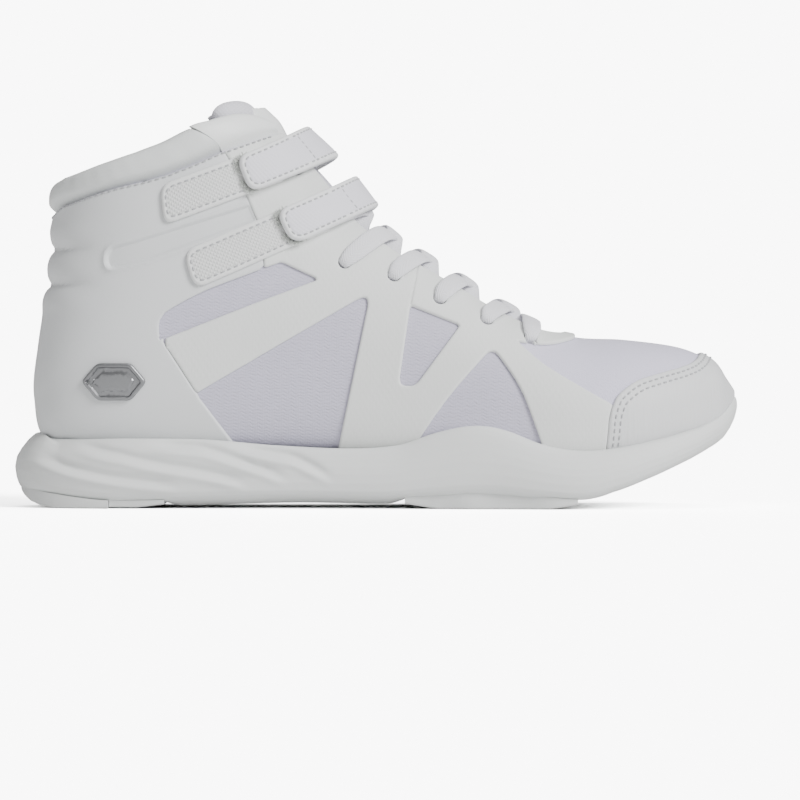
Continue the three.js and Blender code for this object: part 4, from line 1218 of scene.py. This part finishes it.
def straps():
    half = STRAP_WIDTH / 2
    for place, spec in STRAPS.items():
        band = Band(**spec)
        fold = band.p(spec["fold"], -1)
        tip = band.p(spec["tab"], -1)
        pad0, pad1 = (band.p(s, -1) for s in spec["pad"])
        hinge = band.p(spec["sewn"][1], 1)
        sewn = band.p(spec["sewn"][0], 1)
        band_panel(f"{place}_loop_pad", band, box_corners(pad0, pad1, half, 4.5, 0.5), PAD,
                   WHITE["loop"], [f"{place}_loop_pad"], "shoe", False, rim=1.2,
                   groove=PAD_SEAM)
        inset = box_corners(pad0 + PAD_SEAM, pad1 - PAD_SEAM, half - PAD_SEAM, 3.6, 0.5)
        pile(place, band, box_corners(tip, fold, half, 5, 0.02))
        thread(f"{place}_pad_stitching", band_stitches(band, inset, PAD[1] - 0.1, False))
        band_panel(f"{place}_hook_patch", band, box_corners(tip + 1.6, fold - 6, half - 1.5, 4, 1),
                   HOOK, WHITE["hook"], [f"{place}_hook_patch"],
                   f"{place}_strap_end", rim=0.4)
        # The tab and the front are one band: both outlines run on past the fold where they part.
        whole = box_corners(tip, sewn, half, 5, 3)
        seam_line = box_corners(tip + STRAP_SEAM, sewn - STRAP_SEAM, half - STRAP_SEAM, 4, 3)

        def creases(p, v):
            # Shallow slanting creases where the band bends over the instep.
            where = np.exp(-(((p - fold - 7) / 6) ** 2))
            return 0.16 * np.sin(1.5 * p + 0.5 * v) * where * (0.6 + 0.4 * np.sin(0.9 * v + 1))

        tab = band_panel(f"{place}_strap_tab", band, whole, STRAP, WHITE["strap"],
                         [f"{place}_strap_tab"], None, groove=STRAP_SEAM,
                         span=(-math.inf, fold), wrinkle=creases)
        main = band_panel(f"{place}_strap", band, whole, STRAP, WHITE["strap"],
                          [f"{place}_strap", f"{place}_strap_anchor"], None,
                          groove=STRAP_SEAM, span=(fold, math.inf), wrinkle=creases)
        top = STRAP[1] - 0.12
        rows = band_stitches(band, seam_line, top, skip=lambda pv: pv[:, 0] > fold - 0.3)
        tab_thread = thread(f"{place}_tab_stitching", rows, None)
        rows = band_stitches(band, seam_line, top, skip=lambda pv: pv[:, 0] < fold + 0.3)
        for x in (band.p(spec["stitch"], -1), hinge + 3, hinge + 5):
            line = np.stack([np.full(20, x), np.linspace(-half + 2, half - 2, 20)], 1)
            rows.append(stitch_row(*band.place(line, np.full(20, top)), pitch=2.3))
        main_thread = thread(f"{place}_strap_stitching", rows, None)
        for piece in (tab, tab_thread):
            band.metres(fold)
            band.metres(fold - 5)
            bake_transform(piece)
        for piece in (main, main_thread):
            band.metres(hinge + 3)
            band.metres(hinge - 4)
            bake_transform(piece)


# ---------------------------------------------------------------- laces
OVER, UNDER = 2.35, -3.4


def crossing(i, side, high):
    """The lace out of eyelet i on one side, over the tongue and under the next one opposite."""
    (t0, a0), (t1, a1) = ((eyelet_t[k], eyelet_a[k]) for k in (i, i + 1))
    at = lambda u: t0 + (t1 - t0) * u
    deg = math.radians
    middle = 2.6 if high else 0.9
    return [
        (t0, side * a0, UNDER + 0.4, 0.55), (t0, side * a0, -0.5, 0.5), (t0, side * a0, 1.7, 0.62),
        (at(0.05), side * a0 * 0.86, OVER + 0.35, 0.92), (at(0.2), side * deg(23), OVER + 0.2, 1),
        (at(0.33), side * deg(12), (OVER + middle) / 2 + 0.3, 1), (at(0.5), 0, middle, 1),
        (at(0.68), -side * deg(12.5), -1.2, 1), (at(0.82), -side * deg(20.5), UNDER - 0.1, 0.95),
        (at(0.94), -side * a1 * 0.84, UNDER, 0.8),
    ]


def lace_end(side):
    """From the aglet behind the eyestay over its edge, in at the top eyelet and down behind."""
    t, a = eyelet_t[0], eyelet_a[0]
    deg = math.radians
    rows = [
        (10.0, deg(45.5), UNDER, 1), (10.9, deg(45.5), UNDER, 1), (11.8, deg(45), UNDER, 1),
        (t + 0.32, deg(38), UNDER, 1), (t + 0.34, deg(22), UNDER - 0.2, 1),
        (t + 0.31, deg(16), -2.4, 1), (t + 0.27, deg(15), 0, 1), (t + 0.2, deg(18), 2.2, 1),
        (t + 0.08, deg(25), OVER, 0.9), (t, a, 1.7, 0.6), (t, a, -0.5, 0.48),
        (t, a, UNDER + 0.4, 0.55),
        ((eyelet_t[0] + eyelet_t[1]) / 2, (eyelet_a[0] + eyelet_a[1]) / 2, UNDER, 0.9),
    ]
    return [(t, side * a, d, w) for t, a, d, w in rows]


def lace_path():
    """The whole lace as rows of section, angle, depth and share of its full width."""
    def half(first):
        rows, side = lace_end(first), first
        for i in range(1, len(EYELETS) - 1):
            rows += crossing(i, side, side > 0)
            side = -side
        t, a = eyelet_t[-1], eyelet_a[-1]
        rows += [(t, side * a, UNDER + 0.4, 0.62), (t, side * a, -0.5, 0.5),
                 (t, side * a, 1.7, 0.62), (t, side * a * 0.84, OVER + 0.3, 0.9),
                 (t, side * a * 0.5, OVER, 1)]
        return rows

    return np.array(half(-1) + [(eyelet_t[-1], 0, 1.5, 1)] + half(1)[::-1])


def ribbon(centre, side, width, thick, sides=14):
    tangent = unit(np.gradient(centre, axis=0))
    side = unit(side - (side * tangent).sum(1, keepdims=True) * tangent)
    up = np.cross(tangent, side)
    turn = np.arange(sides) * 2 * math.pi / sides
    c = np.sign(np.cos(turn)) * np.abs(np.cos(turn)) ** 0.75
    s = np.sign(np.sin(turn)) * np.abs(np.sin(turn)) ** 0.75
    rings = [m + np.outer(c, w * x) + np.outer(s, h * y)
             for m, x, y, w, h in zip(centre, side, up, width / 2, thick / 2)]
    return rings, c


def laces():
    rows = lace_path()
    fine = np.linspace(0, len(rows) - 1, (len(rows) - 1) * 7 + 1)
    t, a, d, w = catmull(rows, fine).T
    centre = form(t, a, d)
    flat = base(t, a)
    heading = np.gradient(flat, axis=0)
    speed = np.linalg.norm(heading, axis=1)
    side = np.cross(normal(t, a), unit(heading))
    good = speed > 0.12
    last = side[np.argmax(good)]
    for k in np.flatnonzero(good):
        if side[k] @ last < 0:  # the lace turns back here, but isn't twisted
            side[k] = -side[k]
        last = side[k]
    index = np.arange(len(side))
    side = sampled(index, index[good], side[good])
    blur = np.ones(5) / 5
    side = np.stack([np.convolve(np.pad(side[:, k], 2, "edge"), blur, "valid") for k in range(3)], 1)
    thick = LACE_THICK * (0.55 + 0.45 / w)
    rings, c = ribbon(centre, side, LACE_WIDTH * w, thick)
    points, faces = closed_tube(rings)
    reach = reaches(centre)
    lay = np.stack([np.repeat(reach, len(c)), np.outer(w, c * LACE_WIDTH / 2).ravel()], 1)
    make("shoelace", points, faces, lay, WHITE["lace"], "shoe", ["shoelace"])
    for name, sign in (("lateral", -1), ("medial", 1)):
        rows = form(np.linspace(9.9, 9.25, 12), np.full(12, sign * math.radians(45.7)), UNDER)
        way = np.tile(np.cross(rows[-1] - rows[0], [0, sign, 0.0]), (12, 1))
        width, thick = (np.full(12, v) for v in AGLET)
        rings, _ = ribbon(rows, way, width, thick, 12)
        points, faces = closed_tube(rings)
        make(f"aglet_{name}", points, faces, points[:, [0, 2]], WHITE["clear"], "shoe",
             [f"aglet_{name}"])
    return reach[-1]


# ---------------------------------------------------------------- sole
PLAN_ROWS = np.array([[HEEL_X, 0, 0], *SOLE_PLAN, [TOE[0], -TOE[1], TOE[1]]], float)


def plan_point(s, sign, inset):
    """Points of the sole's outline at shares s of one side (sign -1 lateral), moved inward."""
    top = len(PLAN_ROWS) - 1
    column = 1 if sign < 0 else 2

    def at(v):
        row = catmull(PLAN_ROWS, v)
        return np.stack([row[:, 0], sign * row[:, column]], 1)

    v = s * top
    way = at(np.minimum(v + 0.05, top)) - at(np.maximum(v - 0.05, 0))
    way[s <= 0] = (0, sign)
    way[s >= 1] = (0, -sign)
    out = unit(np.stack([way[:, 1], -way[:, 0]], 1)) * -sign
    return at(v) - out * np.atleast_1d(inset)[:, None]


def plan_ring(count, inset):
    """The sole's outline moved inward, as a ring from the heel along the lateral side and back."""
    s = np.linspace(0, 1, count + 1)
    value = inset(s) if callable(inset) else np.full(count + 1, float(inset))
    lateral, medial = plan_point(s, -1, value), plan_point(s, 1, value)
    ring = np.vstack([lateral, medial[count - 1: 0: -1]])
    for _ in range(count // 25):  # rounds off the heel and toe where the two sides meet
        ring = (np.roll(ring, 1, axis=0) + 2 * ring + np.roll(ring, -1, axis=0)) / 4
    return ring


# Inset of the midsole's wall at shares of its height: heel, middle and toe.
WALL = [
    [0.0, 1.9, 6.0, 6.5], [0.06, 1.1, 3.2, 4.0], [0.14, 0.5, 1.7, 2.6], [0.3, 0.0, 0.5, 1.1],
    [0.48, 0.7, 0.0, 0.3], [0.62, 2.4, 0.2, 0.0], [0.77, 5.0, 0.8, 0.1], [0.88, 7.8, 1.5, 0.5],
    [0.95, 9.9, 2.3, 1.4], [1.0, 11.8, 3.6, 2.4],
]
RIBS = [
    [(-126, 16.5), (-110.1, 11.7), (-91.3, 8.1), (-69.9, 6.1)],
    [(-112, 20.5), (-91.3, 16.4), (-77.3, 13.2), (-63.3, 10.8), (-44.6, 6.6)],
    [(-84, 20.9), (-63.3, 19.2), (-53.9, 16.4), (-39.9, 11.7), (-30.5, 8)],
    [(-54, 20.2), (-39.9, 17.8), (-30.5, 16), (-21.2, 11.7), (-14, 7.6)],
]


def rib_relief(x, z):
    """Flowing ridges on the heel's sides, each with a valley above it."""
    total = np.zeros_like(x)
    for line in RIBS:
        line = np.array(line, float)
        reach = smooth(line[0, 0], line[0, 0] + 12, x) * smooth(line[-1, 0], line[-1, 0] - 10, x)
        off = z - height(line, np.clip(x, line[0, 0], line[-1, 0]))
        total += reach * (1.05 * np.exp(-((off / 1.5) ** 2)) - 1.6 * np.exp(-(((off - 3.1) / 1.7) ** 2)))
    return total


def wall_rings(count):
    """Rings up the midsole's ribbed wall."""
    table = np.array(WALL)
    outline, inward = plan_ring(count, 0), plan_ring(count, 16)
    rings = []
    for share in np.linspace(0, 1, 46):
        heel, middle, toe = (float(np.interp(share, table[:, 0], table[:, k])) for k in (1, 2, 3))
        ring = plan_ring(count, lambda s: heel + (middle - heel) * smooth(0.02, 0.3, s)
                         + (toe - middle) * smooth(0.72, 0.95, s))
        over = outline[:, 0] + (ring[:, 0] - outline[:, 0]) * smooth(0.85, 1, share)
        low, top = height(SOLE_BOTTOM, ring[:, 0]), height(MIDSOLE_TOP, over)
        z = low + (top - low) * share
        relief = rib_relief(outline[:, 0], z) * smooth(0, 0.12, share)
        rings.append(np.column_stack([ring + unit(ring - inward) * relief[:, None], z]))
    return rings


def lip_ring(count, inset, drop):
    """A ring inside the midsole's top edge, at the sides tucked in behind the upper."""
    lip = plan_ring(count, lambda s: np.interp(s, [0.02, 0.3], [inset, inset - 8]))
    z = height(MIDSOLE_TOP, lip[:, 0]) - drop
    t, a = locate(lip[:, 0], z + drop)
    wall = form(t, np.where(lip[:, 1] < 0, -a, a), -1.0 - 0.2 * drop)[:, 1]
    at_sides = smooth(-116, -108, lip[:, 0]) * smooth(112, 104, lip[:, 0])
    tucked = np.sign(lip[:, 1]) * np.minimum(np.abs(lip[:, 1]), np.abs(wall))
    lip[:, 1] += (tucked - lip[:, 1]) * at_sides
    return np.column_stack([lip, z])


def midsole():
    count = 330
    n = 2 * count
    under = plan_ring(count, lambda s: 11 - 3.8 * smooth(0.8, 0.97, s))
    arch = ARCH_LIFT * smooth(-80, -70, under[:, 0]) * smooth(14, 4, under[:, 0])
    bottom = np.column_stack([under, height(SOLE_BOTTOM, under[:, 0]) - arch])
    rings = [bottom, *wall_rings(count), lip_ring(count, 13, 0.3), lip_ring(count, 14, 4)]
    points = np.vstack(rings)
    faces = walls(0, len(rings), n)
    last = (len(rings) - 1) * n
    for k in range(count):  # the bottom and the cup's floor, as strips from side to side
        a, b, c, d = k, k + 1, (n - k - 1) % n, (n - k) % n
        corners = [a, b, c] if k == 0 else [a, b, d] if c == b else [a, b, c, d]
        faces.append(tuple(reversed(corners)))
        faces.append(tuple(last + v for v in corners))
    faces = oriented(points, faces)
    make("midsole", points, faces, points[:, [0, 2]], WHITE["foam"], "shoe", ["midsole"])


def plate(name, x_range, inset, ground, tread, node):
    """A rubber pad under the midsole: ground(x) is its lowest height, tread(x, y) its grooves."""
    outline = plan_ring(160, inset)
    ys = np.linspace(-44, 44, 84)
    V, T = lattice(np.linspace(*x_range, int((x_range[1] - x_range[0]) / 1.0)), ys)
    V, T, s = trimmed(V, T, inside(outline, *V.T), (0.3, 0.8))
    x, y = V.T
    low = ground(x) + 0.9 * (1 - rim_profile(s, 1.0, 0)) + tread(x, y) * smooth(1.2, 2.4, s)
    high = height(SOLE_BOTTOM, x) + 0.35
    low = np.minimum(low, high - 0.3)
    points, faces = solid(T, np.column_stack([V, high]), np.column_stack([V, low]))
    obj = make(name, points, outward(points, faces), np.vstack([V, V]), WHITE["rubber"], "shoe",
               [node])
    sharpen(obj, 50)


def tread(x, y):
    """Shallow wavy grooves across the sole."""
    phase = np.abs(((x + 1.6 * np.sin(y / 4.2)) % 6.4) - 3.2)
    return 1.1 * smooth(0.95, 0.35, phase)


def outsoles():
    line = lambda *pts: (lambda x: np.interp(x, *np.array(pts, float).T))
    heel_ground = line((-131, 6.6), (-128.8, 4.3), (-125.8, 2.4), (-122.2, 1), (-117, 0), (-96, 0))
    plate("heel_outsole", (-130.9, -96.7), 2.1, heel_ground, tread, "heel_outsole")
    plate("heel_outsole_front", (-96.5, -76.5), 4.6, line((-96, 0.4), (-86, 0.4), (-77, 1.5)), tread,
          "heel_outsole_front")

    def scalloped(s):
        # Two long pockets in each side of the forefoot pad.
        x = plan_point(s, -1, 0 * s)[:, 0]
        pockets = ((11, 31), (34, 60))
        return 4.6 + 1.7 * sum(smooth(a, a + 3, x) * smooth(b, b - 3, x) for a, b in pockets)

    plate("forefoot_outsole", (10.3, 72.5), scalloped,
          line((10, 1.9), (22, 0), (62, 0), (73, 1.6)), tread, "forefoot_outsole")


def insole():
    V, T = lattice(np.linspace(-116, 129, 190), np.linspace(-38, 39, 66))
    V, T, s = trimmed(V, T, inside(inner_outline(INSOLE_GAP), *V.T), (0.5, 1.5, 3))
    x = V[:, 0]
    bed = height(FOOTBED, x)
    cup = 2.2 * np.exp(-((s / 5) ** 2)) * smooth(-20, -60, x)
    high = bed + INSOLE_HIGH + INSOLE_CROWN * rim_profile(s, 2.0, 0) + cup
    points, faces = solid(T, np.column_stack([V, high]), np.column_stack([V, bed + INSOLE_LOW]))
    obj = make("insole", points, outward(points, faces), np.vstack([V, V]), WHITE["insole"],
               "shoe", ["insole"])
    sharpen(obj)


def inner_outline(d):
    """Plan outline of the foot form, 6 mm above the footbed, moved out by d."""
    low, high = [], []
    for t in np.linspace(0.3, 11, 120):
        a = np.linspace(math.pi / 2, math.pi, 60)
        P = form(np.full(60, t), a, d)
        k = np.argmin(np.abs(P[:, 2] - height(FOOTBED, P[:, 0]) - 6))
        Q = form(np.array([t]), -a[k: k + 1], d)[0]
        if abs(P[k, 2] - height(FOOTBED, P[k, 0]) - 6) < 2.5:
            high.append(P[k, :2])
            low.append(Q[:2])
    return np.array(low + high[::-1])


# ---------------------------------------------------------------- stage and camera
LENS, SENSOR = 230, 36  # millimetres
FRAME_WIDTH = 0.2934  # metres seen across the picture at the target
CAMERA_TARGET, CAMERA_TILT = (0.0086, 0, 0.0389), 0.5  # metres, degrees down
AMBIENT, BACKDROP = 0.36, 9.0  # how bright the world is as light, and how bright it is seen
FLOOR_LIT, FLOOR_SEEN = 0.9, 6.5  # how much light the floor gives back, and how bright it is seen
LIGHTS = [  # name, where it comes from, its spread in degrees, its strength
    ("key", (0.75, -0.72, 0.6), 24, 3.9),
    ("top", (0.15, -0.05, 1.0), 50, 1.3),
]


def seen_and_lit(tree, seen, lit, out):
    """Shows the camera one shader, and gives the rest of the scene the light of another."""
    path, mix = tree.nodes.new("ShaderNodeLightPath"), tree.nodes.new("ShaderNodeMixShader")
    tree.links.new(path.outputs["Is Camera Ray"], mix.inputs["Fac"])
    tree.links.new(lit.outputs[0], mix.inputs[1])
    tree.links.new(seen.outputs[0], mix.inputs[2])
    tree.links.new(mix.outputs[0], out.inputs["Surface"])


def stage():
    bpy.ops.mesh.primitive_plane_add(size=60, location=(0, 0, -0.0001))
    floor = bpy.context.object
    floor.name = "floor"
    paper = bpy.data.materials.new("paper_floor")
    paper.use_nodes = True
    nodes = paper.node_tree.nodes
    nodes.remove(nodes["Principled BSDF"])
    lit, seen = nodes.new("ShaderNodeBsdfDiffuse"), nodes.new("ShaderNodeBsdfDiffuse")
    lit.inputs["Color"].default_value = (FLOOR_LIT, FLOOR_LIT, FLOOR_LIT, 1)
    seen.inputs["Color"].default_value = (FLOOR_SEEN, FLOOR_SEEN, FLOOR_SEEN, 1)
    seen_and_lit(paper.node_tree, seen, lit, nodes["Material Output"])
    floor.data.materials.append(paper)
    world = bpy.data.worlds.new("studio")
    bpy.context.scene.world = world
    world.use_nodes = True
    nodes = world.node_tree.nodes
    ambient, backdrop = nodes["Background"], nodes.new("ShaderNodeBackground")
    for shader, strength in ((ambient, AMBIENT), (backdrop, BACKDROP)):
        shader.inputs["Color"].default_value = (1, 1, 1, 1)
        shader.inputs["Strength"].default_value = strength
    seen_and_lit(world.node_tree, backdrop, ambient, nodes["World Output"])
    for name, source, spread, strength in LIGHTS:
        data = bpy.data.lights.new(name, "SUN")
        data.angle = math.radians(spread)
        data.energy = strength
        light = bpy.data.objects.new(name, data)
        bpy.context.scene.collection.objects.link(light)
        light.location = source
        light.rotation_euler = (-light.location).to_track_quat("-Z", "Y").to_euler()


def camera():
    data = bpy.data.cameras.new("camera")
    data.lens = LENS
    data.sensor_width = SENSOR
    cam = bpy.data.objects.new("camera", data)
    bpy.context.scene.collection.objects.link(cam)
    target = Vector(CAMERA_TARGET)
    reach = FRAME_WIDTH / SENSOR * LENS
    tilt = math.radians(CAMERA_TILT)
    cam.location = target + Vector((0, -reach * math.cos(tilt), reach * math.sin(tilt)))
    cam.rotation_euler = (target - cam.location).to_track_quat("-Z", "Y").to_euler()
    bpy.context.scene.camera = cam


def hidden_pieces():
    """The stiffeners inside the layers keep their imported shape."""
    for node in ("strobel_board", "toe_puff", "heel_counter"):
        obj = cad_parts[node]
        obj.data.materials.clear()
        obj.data.materials.append(WHITE["board"])


base_pieces()
overlay_pieces()
badges()
collar()
tongue()
straps()
lace_length = laces()
midsole()
outsoles()
insole()
hidden_pieces()
stage()
camera()

print(f"lace length {lace_length:.0f} mm")
